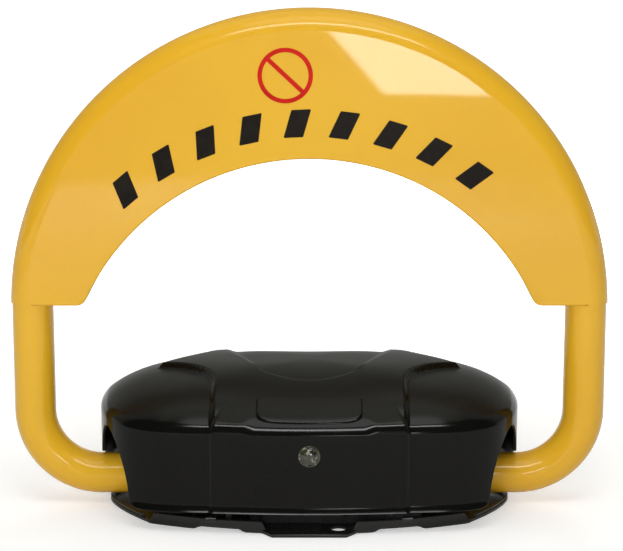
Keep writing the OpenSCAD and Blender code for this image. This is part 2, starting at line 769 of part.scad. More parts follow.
module main_shaft() {
    color(steel) translate([0, 0, axis_z]) difference() {
        union() {
            along_x(-stub_x, 2 * stub_x, shaft_r);
            for (t = [0, 1]) mirror([t, 0, 0]) {
                along_x(stub_x - stub_flange, stub_flange, tube_r - 0.5);
                along_x(stub_x, plug_l, tube_in - fit);
            }
        }
        for (s = [-1, 1]) translate([s * pin_x, 0, 0]) along_y(-tube_d, 2 * tube_d, stub_pin_r + fit);
        translate([sector_pin_x, 0, -2 * hub_r]) cylinder(r = sector_pin_r + fit, h = 4 * hub_r);
    }
}

module stub_pins() {
    color(zinc) for (s = [-1, 1]) translate([s * pin_x, 0, axis_z])
        along_y(-tube_r + 0.8, tube_d - 1.6, stub_pin_r);
}

module sector_gear() {
    color(zinc) translate([0, 0, axis_z]) difference() {
        union() {
            pull_x(sector_x - sector_w / 2, sector_w) polygon(concat(
                teeth(sector_teeth, sector_start, sector_count),
                [for (a = [sector_stop, (sector_stop + sector_start) / 2, sector_start]) polar(hub_r - 3, a)]
            ));
            along_x(sector_x - sector_w / 2 - hub_l, sector_w + 2 * hub_l, hub_r);
        }
        along_x(sector_x - 30, 60, shaft_r + 0.02);
        translate([sector_pin_x, 0, -2 * hub_r]) cylinder(r = sector_pin_r + fit, h = 4 * hub_r);
    }
}

module sector_pin() {
    color(steel) translate([sector_pin_x, 0, axis_z - hub_r + 1])
        cylinder(r = sector_pin_r, h = 2 * hub_r - 2);
}

module shaft_collars() {
    color(zinc) for (t = [0, 1]) mirror([t, 0, 0]) translate([0, 0, axis_z]) difference() {
        along_x(bracket_x - bush_flange - 0.3 - collar_w, collar_w, shaft_r + 4);
        along_x(bracket_x - 30, 30, shaft_r + 0.02);
    }
}

module position_magnet() {
    color(steel) translate([0, -magnet_r, axis_z]) along_x(magnet_x, magnet_t, 4);
}

module output_pinion() {
    color(zinc) translate([0, 0, pinion_z]) {
        pull_x(sector_x - sector_w / 2 - 1, sector_w + 2)
            polygon(teeth(pinion_teeth, pinion_start, pinion_teeth));
        along_x(sector_x, 28, pinion_shaft_r);
    }
}

module cover() {
    color(black) difference() {
        polyhedron(points = skin_points, faces = skin_faces, convexity = 8);
        translate([0, -plan_y(0) - 10, lens_z]) rotate([-90, 0, 0]) cylinder(r = lens_stem_r + 0.1, h = 20);
        translate([0, plan_y(0) - 10, lock_z]) rotate([-90, 0, 0]) cylinder(r = lock_r + fit, h = 20);
    }
}

// A plain plate stuck on the slope of the dome
plate_cols = 10;
plate_rows = 4;
plate_low = 0.72;
plate_high = 0.935;
pad_half = 40;
pad_t = 1.4;
function patch(i, j, lift) = let(
    x = -pad_half + 2 * pad_half * i / plate_cols,
    rho = plate_low + (plate_high - plate_low) * j / plate_rows,
    p = [x / rho, -plan_y(x / rho)]
) [x, p[1] * rho, top_z(p, rho) + lift];
patch_n = (plate_cols + 1) * (plate_rows + 1);
function pid(i, j) = i * (plate_rows + 1) + j;
patch_points = [for (lift = [pad_t, fit]) for (i = [0:plate_cols]) for (j = [0:plate_rows])
    patch(i, j, lift)];
patch_rim = concat(
    [for (i = [0:plate_cols]) pid(i, 0)],
    [for (j = [1:plate_rows]) pid(plate_cols, j)],
    [for (i = [plate_cols - 1:-1:0]) pid(i, plate_rows)],
    [for (j = [plate_rows - 1:-1:1]) pid(0, j)]
);
patch_faces = concat(
    [for (i = [0:plate_cols - 1]) for (j = [0:plate_rows - 1]) for (h = [0, 1])
        h == 0 ? [pid(i, j), pid(i + 1, j), pid(i + 1, j + 1)]
        : [pid(i, j), pid(i + 1, j + 1), pid(i, j + 1)]],
    [for (i = [0:plate_cols - 1]) for (j = [0:plate_rows - 1]) for (h = [0, 1])
        h == 0 ? [patch_n + pid(i, j), patch_n + pid(i + 1, j + 1), patch_n + pid(i + 1, j)]
        : [patch_n + pid(i, j), patch_n + pid(i, j + 1), patch_n + pid(i + 1, j + 1)]],
    [for (k = [0:len(patch_rim) - 1]) for (h = [0, 1])
        let(a = patch_rim[k], b = patch_rim[(k + 1) % len(patch_rim)])
        h == 0 ? [b, a, patch_n + a] : [b, patch_n + a, patch_n + b]]
);

module blank_plate() {
    color(black) polyhedron(points = patch_points, faces = patch_faces, convexity = 4);
}

// Parts in the front wall, turned about Y with the outer face at zero
module at_lens() {
    translate([0, -plan_y(0), lens_z]) rotate([90, 0, 0]) children();
}

module status_lens() {
    color(white) at_lens() {
        translate([0, 0, fit]) cylinder(r = lens_r, h = lens_flange);
        translate([0, 0, lens_flange]) cylinder(r1 = dome_r, r2 = dome_r * 0.75, h = 2.2);
        translate([0, 0, lens_flange + 2.2]) cylinder(r1 = dome_r * 0.75, r2 = dome_r * 0.42, h = 1);
        translate([0, 0, -lens_stem]) cylinder(r = lens_stem_r, h = lens_stem + 0.1);
    }
}

module lens_nut() {
    color(zinc) at_lens() translate([0, 0, -cover_t - 4.4]) difference() {
        cylinder(r = lens_stem_r + 3.1, h = 4, $fn = 6);
        translate([0, 0, -1]) cylinder(r = lens_stem_r + fit, h = 6);
    }
}

module status_led() {
    color(green) at_lens() {
        translate([0, 0, -lens_stem - 1.6]) cylinder(r = lens_stem_r - 0.4, h = 1.5);
        translate([-3, -3, -lens_stem - 6]) cube([6, 6, 4.5]);
    }
}

module hinge_leaves() {
    color(steel) for (t = [0, 1]) mirror([t, 0, 0]) difference() {
        union() {
            translate([0, 0, cover_low + 0.5]) linear_extrude(18) polygon(concat(
                [for (i = [0:4]) let(x = hinge_x - knuckle_w / 2 + knuckle_w * i / 4)
                    [x, -plan_y(x / in_x) * in_y + 0.12]],
                [for (k = [1, -1]) [hinge_x + k * knuckle_w / 2, hinge_y - 2.5]]
            ));
            translate([0, hinge_y, hinge_z]) along_x(hinge_x - knuckle_w / 2, knuckle_w, knuckle_r);
        }
        translate([0, hinge_y, hinge_z]) along_x(hinge_x - 2 * knuckle_w, 4 * knuckle_w, hinge_pin_r + fit);
    }
}

// Parts in the rear wall, with the outer face at zero and +Z pointing out
module at_lock() {
    translate([0, plan_y(0), lock_z]) rotate([-90, 0, 0]) children();
}

module lock_barrel() {
    color(zinc) at_lock() difference() {
        union() {
            translate([0, 0, fit]) cylinder(r = lock_r + 3, h = 2.4);
            translate([0, 0, -20.5]) cylinder(r = lock_r, h = 20.6);
        }
        translate([0, 0, -25]) cylinder(r = plug_r + fit, h = 40);
    }
}

module lock_nut() {
    color(zinc) at_lock() translate([0, 0, -cover_t - 4.4]) difference() {
        cylinder(r = lock_r + 4, h = 4, $fn = 6);
        translate([0, 0, -1]) cylinder(r = lock_r + fit, h = 6);
    }
}

module lock_plug() {
    deep = plan_y(0) - cam_y - cam_t;
    color(brass) at_lock() difference() {
        translate([0, 0, -deep]) cylinder(r = plug_r, h = deep + 2.2);
        translate([-3.5, -0.6, 0]) cube([7, 1.2, 6]);
        translate([0, 0, -deep - 1]) cylinder(r = cam_screw_r + fit, h = 11);
    }
}

module lock_cam() {
    color(steel) translate([0, cam_y + cam_t, lock_z]) rotate([90, 0, 0]) difference() {
        union() {
            translate([-cam_half, -cam_l, 0]) cube([2 * cam_half, cam_l, cam_t]);
            cylinder(r = cam_half, h = cam_t);
        }
        translate([0, 0, -1]) cylinder(r = cam_screw_r + fit, h = cam_t + 3);
    }
}

module cam_screw() {
    color(zinc) translate([0, cam_y, lock_z]) rotate([90, 0, 0]) {
        cylinder(r = 4.6, h = 2.6);
        translate([0, 0, -9]) cylinder(r = cam_screw_r, h = 9.1);
    }
}

base_plate();
brackets();
bracket_bolts();
bushes();
bridge();
bridge_bolts();
gearbox_housing();
gearbox_lid();
motor_can();
motor_cap();
battery_tray();
battery_cells();
battery_strap();
board_case();
board_lid();
control_board();
board_parts();
antenna();
buzzer();
sensor_plate();
hall_sensors();
strike_bracket();
hinge_brackets();
hinge_pins();
rear_buffers();
small_screws();
motor_cable();
battery_cable();
loop_tube();
sign_front();
sign_back();
sign_rim();
sign_edge();
main_shaft();
stub_pins();
sector_gear();
sector_pin();
shaft_collars();
position_magnet();
output_pinion();
cover();
blank_plate();
status_lens();
lens_nut();
status_led();
hinge_leaves();
lock_barrel();
lock_nut();
lock_plug();
lock_cam();
cam_screw();
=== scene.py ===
"""Looks of the folding parking lock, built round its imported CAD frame.

A yellow pipe loop with a crescent sign stands over a low black hood. Lengths in the classes are
millimetres, as in the part's source, and meshes are written in metres in the frame's own axes.
"""

from __future__ import annotations

import json
import logging
import math
from dataclasses import dataclass
from enum import Enum
from typing import Any, Callable, Sequence, Union

import bmesh
import bpy
import numpy as np
from mathutils import Matrix, Vector

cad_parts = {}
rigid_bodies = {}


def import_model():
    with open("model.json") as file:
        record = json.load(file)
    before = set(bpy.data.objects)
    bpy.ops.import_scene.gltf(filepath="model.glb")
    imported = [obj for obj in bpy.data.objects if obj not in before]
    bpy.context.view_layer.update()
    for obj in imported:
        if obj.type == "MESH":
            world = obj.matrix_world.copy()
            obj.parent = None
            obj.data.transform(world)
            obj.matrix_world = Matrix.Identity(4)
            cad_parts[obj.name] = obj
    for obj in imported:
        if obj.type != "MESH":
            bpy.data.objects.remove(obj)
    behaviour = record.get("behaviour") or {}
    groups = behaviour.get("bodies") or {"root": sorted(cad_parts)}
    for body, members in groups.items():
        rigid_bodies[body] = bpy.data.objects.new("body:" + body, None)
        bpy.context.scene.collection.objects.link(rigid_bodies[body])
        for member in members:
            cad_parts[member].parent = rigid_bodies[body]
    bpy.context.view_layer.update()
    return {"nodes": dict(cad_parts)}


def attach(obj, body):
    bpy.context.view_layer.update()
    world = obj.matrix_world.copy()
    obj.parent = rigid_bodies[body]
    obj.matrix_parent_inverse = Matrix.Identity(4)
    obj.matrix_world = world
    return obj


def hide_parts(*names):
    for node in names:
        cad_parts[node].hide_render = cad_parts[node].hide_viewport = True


LOG = logging.getLogger("parking_lock")
MM = 0.001
WELD = 1e-7
PIPE_CREASE = 50.0

Colour = tuple[float, float, float, float]
Point = tuple[float, float, float]
Flat = tuple[float, float]
Span = tuple[float, float, int]
Face = Sequence[int]

WHITE: Colour = (1.0, 1.0, 1.0, 1.0)
SLEEVE_ENDS: tuple[Flat, Flat] = ((0.06, 0.045), (0.94, 0.955))


class Body(str, Enum):
    """The moving bodies of the frame."""

    BASE = "base"
    LOOP = "loop"
    PINION = "pinion"
    COVER = "cover"
    LOCK = "lock"


class Slot(str, Enum):
    """The record's material slots."""

    YELLOW = "yellow_paint"
    BLACK = "black_paint"
    STEEL = "bare_steel"
    ZINC = "zinc_steel"
    BRONZE = "bronze"
    CAST = "cast_alloy"
    BLACK_PLASTIC = "black_plastic"
    GREY_PLASTIC = "grey_plastic"
    BOARD = "board_green"
    CELL = "cell_wrap"
    RUBBER = "rubber_black"
    LENS = "clear_lens"
    BRASS = "lock_brass"


def srgb(*levels: int) -> Colour:
    """Turn a screen colour into the linear one that shaders take.

    Args:
        levels: Red, green and blue from 0 to 255.

    Returns:
        The linear colour with full alpha.
    """
    shares = [level / 255 for level in levels]
    linear = [s / 12.92 if s <= 0.04045 else ((s + 0.055) / 1.055) ** 2.4 for s in shares]
    return (*linear, 1.0)


# Node graphs


def operator(operation: str, turned: bool = False) -> Callable[[Sock, Value], Sock]:
    """Make a method that adds a Math node for its socket and another value.

    Args:
        operation: What the node works out.
        turned: Whether the other value comes first.

    Returns:
        The method.
    """

    def method(self: Sock, other: Value) -> Sock:
        """Add the node and return its socket."""
        pair = (other, self) if turned else (self, other)
        return self.graph.node("ShaderNodeMath", dict(enumerate(pair)), operation=operation)

    return method


class Sock:
    """A socket that takes part in Python arithmetic, one Math node for each operation."""

    def __init__(self, graph: Graph, out: bpy.types.NodeSocket) -> None:
        """Wrap one output socket of a graph."""
        self.graph = graph
        self.out = out

    __add__, __radd__ = operator("ADD"), operator("ADD", True)
    __sub__, __rsub__ = operator("SUBTRACT"), operator("SUBTRACT", True)
    __mul__, __rmul__ = operator("MULTIPLY"), operator("MULTIPLY", True)
    most = operator("MAXIMUM")

    def function(self, operation: str) -> Sock:
        """A function of this value alone, such as SINE."""
        return self.graph.node("ShaderNodeMath", {0: self}, operation=operation)


Value = Union[Sock, float, int, bool, str, Sequence[float], bpy.types.ID]


class Graph:
    """A node tree, shader or geometry, that is filled through one node-making method."""

    def __init__(self, tree: bpy.types.NodeTree) -> None:
        """Start on a tree."""
        self.tree = tree

    def made(self, kind: str, inputs: dict[Any, Any], **settings: Any) -> bpy.types.Node:
        """Add a node.

        Args:
            kind: The node's type.
            inputs: Values or sockets for its inputs, by name or number; a list links several.
            settings: Its own properties, set first; "stops" fills a colour ramp.

        Returns:
            The node itself.
        """
        made = self.tree.nodes.new(kind)
        for key, value in settings.items():
            if key == "stops":
                self._stops(made.color_ramp, value)
            else:
                setattr(made, key, value)
        for key, value in inputs.items():
            for one in value if isinstance(value, list) else [value]:
                if isinstance(one, Sock):
                    self.tree.links.new(one.out, made.inputs[key])
                else:
                    made.inputs[key].default_value = one
        return made

    def node(
        self, kind: str, inputs: dict[Any, Any] | None = None, out: int | str = 0, **settings: Any
    ) -> Sock:
        """Add a node, as made does, and take one of its outputs, by name or number."""
        return Sock(self, self.made(kind, inputs or {}, **settings).outputs[out])

    @staticmethod
    def _stops(ramp: bpy.types.ColorRamp, stops: Sequence[tuple[float, Colour]]) -> None:
        """Give a ramp its stops in place of the two it starts with.

        Args:
            ramp: The ramp.
            stops: Places from 0 to 1 and the colours there.
        """
        while len(ramp.elements) > 1:
            ramp.elements.remove(ramp.elements[-1])
        ramp.elements[0].position, ramp.elements[0].color = stops[0]
        for place, colour in stops[1:]:
            ramp.elements.new(place).color = colour

    def coords(self) -> Sock:
        """The piece's own coordinates, in metres."""
        return self.node("ShaderNodeTexCoord", out="Object")

    def axis(self, vector: Sock, name: str) -> Sock:
        """One component of a vector."""
        return self.node("ShaderNodeSeparateXYZ", {0: vector}, name)

    def ray(self, kind: str) -> Sock:
        """1 for rays of a kind, such as Camera."""
        return self.node("ShaderNodeLightPath", out=f"Is {kind} Ray")

    def noise(self, scale: float, detail: float = 2.0, where: Sock | None = None) -> Sock:
        """Smooth noise from 0 to 1.

        Args:
            scale: Waves in a metre.
            detail: Finer layers added to it.
            where: Coordinates in place of the piece's own.

        Returns:
            The noise's value.
        """
        inputs = {"Vector": where or self.coords(), "Scale": scale, "Detail": detail}
        return self.node("ShaderNodeTexNoise", inputs)

    def between(self, value: Sock, low: float, high: float) -> Sock:
        """A smooth step of a value from 0 at low to 1 at high."""
        inputs = {0: value, 1: low, 2: high}
        return self.node("ShaderNodeMapRange", inputs, interpolation_type="SMOOTHSTEP")

    def patches(self, scale: float, detail: float, low: float, high: float) -> Sock:
        """Noise drawn apart into patches: 0 below its value low and 1 above high."""
        return self.between(self.noise(scale, detail), low, high)

    def mix(self, share: Value, first: Value, second: Value) -> Sock:
        """Mix two colours by a share."""
        return self.node("ShaderNodeMix", {0: share, 6: first, 7: second}, 2, data_type="RGBA")

    def bump(self, height: Sock, depth: float) -> Sock:
        """Turn a height from 0 to 1 into a normal, with that many metres from low to high."""
        return self.node("ShaderNodeBump", {"Height": height, "Distance": depth, "Strength": 1.0})

    def principled(self, **inputs: Value) -> Sock:
        """A Principled shader; names are written with underscores for spaces."""
        named = {key.replace("_", " "): value for key, value in inputs.items()}
        return self.node("ShaderNodeBsdfPrincipled", named)


def fresh(owner: bpy.types.ID) -> Graph:
    """Give a material, world or lamp an empty node tree.

    Args:
        owner: What gets the tree.

    Returns:
        The tree.
    """
    owner.use_nodes = True
    owner.node_tree.nodes.clear()
    return Graph(owner.node_tree)


class PieceTree(Graph):
    """A Geometry Nodes tree with named inputs that ends in real geometry with a material."""

    def __init__(self, name: str) -> None:
        """Start a tree.

        Args:
            name: The tree's name.
        """
        super().__init__(bpy.data.node_groups.new(name, "GeometryNodeTree"))
        for way in ("INPUT", "OUTPUT"):
            socket = {"in_out": way, "socket_type": "NodeSocketGeometry"}
            self.tree.interface.new_socket("Geometry", **socket)
        self.entry = self.tree.nodes.new("NodeGroupInput")
        self.values: dict[str, Any] = {}

    def given(self) -> Sock:
        """The geometry that the object brings."""
        return Sock(self, self.entry.outputs[0])

    def size(self, name: str, value: float | int) -> Sock:
        """Add a named input.

        Args:
            name: The input's name.
            value: Its value; a whole number makes a count.

        Returns:
            The input's socket.
        """
        kind = "NodeSocketInt" if isinstance(value, int) else "NodeSocketFloat"
        made = self.tree.interface.new_socket(name, in_out="INPUT", socket_type=kind)
        self.values[made.identifier] = value
        return Sock(self, next(s for s in self.entry.outputs if s.identifier == made.identifier))

    def length(self, name: str, value: float) -> Sock:
        """Add a named input for a length in millimetres."""
        return self.size(name, value * MM)

    def vector(self, x: Value, y: Value, z: Value) -> Sock:
        """Three values as a vector."""
        return self.node("ShaderNodeCombineXYZ", {0: x, 1: y, 2: z})

    def run(
        self, carrier: bpy.types.Object, shape: Sock, material: bpy.types.Material
    ) -> bpy.types.Object:
        """Close the tree, run it on an object and keep the result as that object's plain mesh.

        Args:
            carrier: The object whose mesh the tree starts from.
            shape: The tree's last geometry.
            material: What the result is made of.

        Returns:
            The carrier, with the result as its mesh and no modifier.
        """
        real = self.node("GeometryNodeRealizeInstances", {"Geometry": shape})
        smooth = self.node("GeometryNodeSetShadeSmooth", {"Geometry": real})
        dress = {"Geometry": smooth, "Material": material}
        dressed = self.node("GeometryNodeSetMaterial", dress)
        self.made("NodeGroupOutput", {0: dressed})
        modifier = carrier.modifiers.new("shape", "NODES")
        modifier.node_group = self.tree
        for identifier, value in self.values.items():
            modifier[identifier] = value
        return plain(carrier)


# Meshes


def linked(name: str, data: bpy.types.ID | None) -> bpy.types.Object:
    """Put data into the scene as an object.

    Args:
        name: The object's name.
        data: Its mesh, curve, lamp or camera.

    Returns:
        The object.
    """
    made = bpy.data.objects.new(name, data)
    bpy.context.scene.collection.objects.link(made)
    return made


def blank(name: str) -> bpy.types.Object:
    """An object with an empty mesh, linked to the scene."""
    return linked(name, bpy.data.meshes.new(name))


def metres(points: Sequence[Point]) -> list[list[float]]:
    """Points in metres from points in millimetres."""
    return [[c * MM for c in p] for p in points]


def final_mesh(thing: bpy.types.Object) -> bpy.types.Mesh:
    """Work out an object's modifiers or its curve.

    Args:
        thing: The object.

    Returns:
        The mesh that it gives.
    """
    depsgraph = bpy.context.evaluated_depsgraph_get()
    ready = thing.evaluated_get(depsgraph)
    return bpy.data.meshes.new_from_object(
        ready, preserve_all_data_layers=True, depsgraph=depsgraph
    )


def plain(piece: bpy.types.Object) -> bpy.types.Object:
    """Replace a piece's mesh and modifiers by the mesh that they give.

    Args:
        piece: The object.

    Returns:
        The same object.
    """
    mesh = final_mesh(piece)
    piece.modifiers.clear()
    piece.data = mesh
    mesh.name = piece.name
    return piece


def shade(piece: bpy.types.Object, crease: float) -> None:
    """Shade a piece smooth, apart from edges sharper than a crease in degrees."""
    piece.data.polygons.foreach_set("use_smooth", [True] * len(piece.data.polygons))
    piece.data.set_sharp_from_angle(angle=math.radians(crease))


def tidy(piece: bpy.types.Object, crease: float) -> None:
    """Weld a piece's mesh, turn its faces outwards and shade it smooth up to a crease.

    Args:
        piece: The object.
        crease: Edges sharper than this many degrees stay hard.
    """
    shape = bmesh.new()
    shape.from_mesh(piece.data)
    bmesh.ops.remove_doubles(shape, verts=shape.verts, dist=WELD)
    bmesh.ops.recalc_face_normals(shape, faces=shape.faces)
    if shape.calc_volume(signed=True) < 0:
        bmesh.ops.reverse_faces(shape, faces=shape.faces)
    shape.to_mesh(piece.data)
    shape.free()
    shade(piece, crease)


def solid(
    name: str, points: Sequence[Point], faces: Sequence[Face], crease: float
) -> bpy.types.Object:
    """Make a closed piece whose faces point outwards.

    Args:
        name: The piece's name.
        points: Corners in millimetres.
        faces: Corner numbers of each face.
        crease: Edges sharper than this many degrees stay hard.

    Returns:
        The new object.
    """
    piece = blank(name)
    piece.data.from_pydata(metres(points), [], [tuple(f) for f in faces])
    tidy(piece, crease)
    return piece


def grid_faces(rows: int, columns: int, closed: bool = True) -> list[Face]:
    """Quads between the rows of a grid of points.

    Args:
        rows: Number of rows.
        columns: Points in a row.
        closed: Whether a row's last point joins its first.

    Returns:
        The faces.
    """
    faces: list[Face] = []
    for low in range(0, (rows - 1) * columns, columns):
        for c in range(columns if closed else columns - 1):
            a, b = low + c, low + (c + 1) % columns
            faces.append((a, b, b + columns, a + columns))
    return faces


def stacked(
    name: str, rings: Sequence[Sequence[Point]], crease: float = 35.0
) -> bpy.types.Object:
    """Make a closed piece from rings of points, with its two end rings filled.

    Args:
        name: The piece's name.
        rings: Rings of as many points each, in millimetres.
        crease: Edges sharper than this many degrees stay hard.

    Returns:
        The new object.
    """
    count, size = len(rings[0]), len(rings)
    ends = [range(count), range((size - 1) * count, size * count)]
    points = [tuple(p) for ring in rings for p in ring]
    return solid(name, points, grid_faces(size, count) + ends, crease)


def lathe(
    name: str, profile: Sequence[Flat], centre: Point, toward: float, steps: int = 64
) -> bpy.types.Object:
    """Turn a profile about a line along Y.

    Args:
        name: The piece's name.
        profile: Radius and height pairs; the ends are closed.
        centre: Where height 0 lies, in millimetres.
        toward: The sign of Y along which height grows.
        steps: Points in a turn.

    Returns:
        The new object.
    """
    x, y, z = centre
    turn = [math.tau * k / steps for k in range(steps)]
    rings = [
        [(x + r * math.cos(a), y + toward * height, z + r * math.sin(a)) for a in turn]
        for r, height in profile
    ]
    return stacked(name, rings)


def arc(centre: Flat, radius: float, start: float, stop: float, steps: int) -> list[Flat]:
    """Points on an arc in a plane, with angles in degrees."""
    angles = np.radians(np.linspace(start, stop, steps + 1))
    return [(centre[0] + radius * math.cos(a), centre[1] + radius * math.sin(a)) for a in angles]


def mirrored(line: Sequence[Flat]) -> list[Flat]:
    """A line's points on the other side of X, from its end to its start."""
    return [(-x, z) for x, z in reversed(line)]


def curved(points: Sequence[Point], steps: int) -> list[Point]:
    """A smooth path through points, as the part's source draws its cords.

    Args:
        points: The points that it passes.
        steps: Pieces between two of them.

    Returns:
        The path's points.
    """
    p = [np.array(q, float) for q in points]
    path = []
    for i in range(len(p) - 1):
        a, b, c, d = p[max(i - 1, 0)], p[i], p[i + 1], p[min(i + 2, len(p) - 1)]
        square, cube = 2 * a - 5 * b + 4 * c - d, 3 * b - a - 3 * c + d
        for t in (k / steps for k in range(steps)):
            path.append(tuple(0.5 * (2 * b + (c - a) * t + square * t**2 + cube * t**3)))
    return [*path, tuple(p[-1])]


def sweep(
    name: str,
    points: Sequence[Point],
    radius: float,
    material: bpy.types.Material,
    sides: int,
    closed: bool = False,
    sleeve: float = 0.0,
) -> bpy.types.Object:
    """Sweep a round section along a path with Geometry Nodes.

    Args:
        name: The piece's name.
        points: The path in millimetres.
        radius: The section's radius in millimetres.
        material: What it is made of.
        sides: Points round the section.
        closed: Whether the path ends where it starts.
        sleeve: Extra share of the radius over the path's two ends.

    Returns:
        The new object.
    """
    count = len(points)
    edges = [(i, (i + 1) % count) for i in range(count if closed else count - 1)]
    carrier = blank(name)
    carrier.data.from_pydata(metres(points), edges, [])
    tree = PieceTree(name)
    line = tree.node("GeometryNodeMeshToCurve", {"Mesh": tree.given()})
    if sleeve:
        along = tree.node("GeometryNodeSplineParameter", out="Factor")
        first, last = (tree.between(along, *end) for end in SLEEVE_ENDS)
        width = 1 + (first + last) * tree.size("Sleeve", sleeve)
        line = tree.node("GeometryNodeSetCurveRadius", {"Curve": line, "Radius": width})
    section = {"Resolution": tree.size("Sides", sides), "Radius": tree.length("Radius", radius)}
    ring = tree.node("GeometryNodeCurvePrimitiveCircle", section, mode="RADIUS")
    swept = {"Curve": line, "Profile Curve": ring, "Fill Caps": not closed}
    pipe = tree.run(carrier, tree.node("GeometryNodeCurveToMesh", swept), material)
    tidy(pipe, PIPE_CREASE)
    return pipe


def settle(
    piece: bpy.types.Object,
    body: Body,
    finish: Finish | None = None,
    nodes: Sequence[str] = (),
) -> None:
    """Dress a finished piece, tie it to its body and report it.

    Args:
        piece: The object.
        body: The body that it moves with.
        finish: Its finish, unless its mesh already has a material.
        nodes: CAD nodes that it stands for.
    """
    if finish:
        piece.data.materials.clear()
        piece.data.materials.append(finish.material())
    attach(piece, body.value)
    if nodes:
        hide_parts(*nodes)
    LOG.info("%s: %d faces, on %s", piece.name, len(piece.data.polygons), body.value)


# Finishes


@dataclass(frozen=True)
class Finish:
    """A surface finish, mixed from a colour and a shade, that makes its material once."""

    name: str
    colour: Colour
    shade: Colour

    def surface(self, graph: Graph) -> Sock:
        """Build the shader.

        Args:
            graph: The material's empty node tree.

        Returns:
            The shader's socket.
        """
        raise NotImplementedError

    def material(self) -> bpy.types.Material:
        """The finish's material, made on first use.

        Returns:
            The material.
        """
        found = bpy.data.materials.get(self.name)
        if found:
            return found
        made = bpy.data.materials.new(self.name)
        graph = fresh(made)
        graph.made("ShaderNodeOutputMaterial", {"Surface": self.surface(graph)})
        return made


@dataclass(frozen=True)
class PowderCoat(Finish):
    """Baked gloss paint with orange peel, a drift of colour and dust that dulls what faces up."""

    dust: Colour
    gloss: float
    spread: float
    peel: float
    ior: float
    coat: float
    dust_share: float
    dulled: float = 0.0
    coat_rough: float = 0.03
    coat_ior: float = 1.45
    speck_rough: float = 0.25
    fine_peel: float = 0.35
    wiped: float = 0.65
    settled_facing: Flat = (0.7, 0.88)
    wiped_facing: Flat = (0.15, 0.4)

    def surface(self, graph: Graph) -> Sock:
        """Build the shader.

        Args:
            graph: The material's empty node tree.

        Returns:
            The shader's socket.
        """
        drift = graph.patches(scale=5.0, detail=3.0, low=0.3, high=0.75)
        specks = graph.patches(scale=1400.0, detail=1.0, low=0.69, high=0.78)
        specks = specks * graph.noise(scale=9.0)
        handled = graph.patches(scale=16.0, detail=5.0, low=0.46, high=0.8)
        paint = graph.mix(drift, self.colour, self.shade)
        waves = graph.noise(scale=230.0, detail=1.5)
        waves = waves + self.fine_peel * graph.noise(scale=900.0, detail=1.0)
        upward = graph.axis(graph.node("ShaderNodeTexCoord", out="Normal"), "Z")
        settled = graph.between(upward, *self.settled_facing)
        kept = 1.0 - self.wiped * graph.between(upward, *self.wiped_facing)
        rough = self.gloss + self.spread * handled + self.speck_rough * specks
        return graph.principled(
            Base_Color=graph.mix(specks * self.dust_share, paint, self.dust),
            Roughness=rough + self.dulled * settled,
            IOR=self.ior,
            Coat_Weight=self.coat * kept,
            Coat_Roughness=self.coat_rough,
            Coat_IOR=self.coat_ior,
            Normal=graph.bump(waves, self.peel),
        )


@dataclass(frozen=True)
class Metal(Finish):
    """Bare or plated metal, drawn along one axis or spangled."""

    rough: float
    spread: float
    grain: Point
    depth: float
    spangle: float = 0.0
    flake_scale: float = 420.0
    flake_gloss: float = 0.08
    stain_tone: float = 0.6
    line_tone: float = 0.3
    line_rough: float = 0.6
    stain_rough: float = 0.5

    def surface(self, graph: Graph) -> Sock:
        """Build the shader.

        Args:
            graph: The material's empty node tree.

        Returns:
            The shader's socket.
        """
        stretched = {"Vector": graph.coords(), "Scale": self.grain}
        lines = graph.noise(1.0, 3.0, graph.node("ShaderNodeMapping", stretched))
        stain = graph.patches(scale=28.0, detail=4.0, low=0.4, high=0.72)
        cells = {"Vector": graph.coords(), "Scale": self.flake_scale}
        flakes = graph.node("ShaderNodeTexVoronoi", cells, "Color")
        flat = graph.node("ShaderNodeSeparateColor", {0: flakes})
        worn = stain * self.stain_tone + lines * self.line_tone
        tone = graph.mix(worn, self.colour, self.shade)
        uneven = lines * self.line_rough + stain * self.stain_rough
        rough = self.rough + self.spread * uneven
        return graph.principled(
            Base_Color=graph.mix(flat * self.spangle, tone, self.shade),
            Metallic=1.0,
            Roughness=rough - self.flake_gloss * self.spangle * flat,
            Normal=graph.bump(lines, self.depth),
        )


@dataclass(frozen=True)
class Moulding(Finish):
    """Moulded plastic or rubber with a fine spark-eroded grain and flow marks."""

    rough: float
    grain: float
    depth: float
    flow_tone: float = 0.7
    grain_tone: float = 0.2
    grain_rough: float = 0.14
    flow_rough: float = 0.08

    def surface(self, graph: Graph) -> Sock:
        """Build the shader.

        Args:
            graph: The material's empty node tree.

        Returns:
            The shader's socket.
        """
        grain = graph.noise(self.grain)
        flow = graph.patches(scale=22.0, detail=4.0, low=0.35, high=0.75)
        tone = flow * self.flow_tone + grain * self.grain_tone
        rough = self.rough + self.grain_rough * (grain - 0.5) + self.flow_rough * flow
        return graph.principled(
            Base_Color=graph.mix(tone, self.colour, self.shade),
            Roughness=rough,
            Normal=graph.bump(grain, self.depth),
        )


@dataclass(frozen=True)
class CircuitBoard(Finish):
    """Solder mask with copper tracks that show through it."""

    rough: float = 0.34
    spread: float = 0.12
    cell_scale: float = 330.0
    track_edge: Flat = (0.52, 0.56)
    track_tone: float = 0.8
    depth: float = 0.00003

    def surface(self, graph: Graph) -> Sock:
        """Build the shader.

        Args:
            graph: The material's empty node tree.

        Returns:
            The shader's socket.
        """
        inputs = {"Vector": graph.coords(), "Scale": self.cell_scale}
        pattern = {"distance": "CHEBYCHEV", "feature": "F2"}
        cells = graph.node("ShaderNodeTexVoronoi", inputs, "Distance", **pattern)
        tracks = graph.between(cells, *self.track_edge)
        return graph.principled(
            Base_Color=graph.mix(tracks * self.track_tone, self.colour, self.shade),
            Roughness=self.rough + self.spread * graph.noise(scale=300.0),
            Normal=graph.bump(tracks, self.depth),
        )


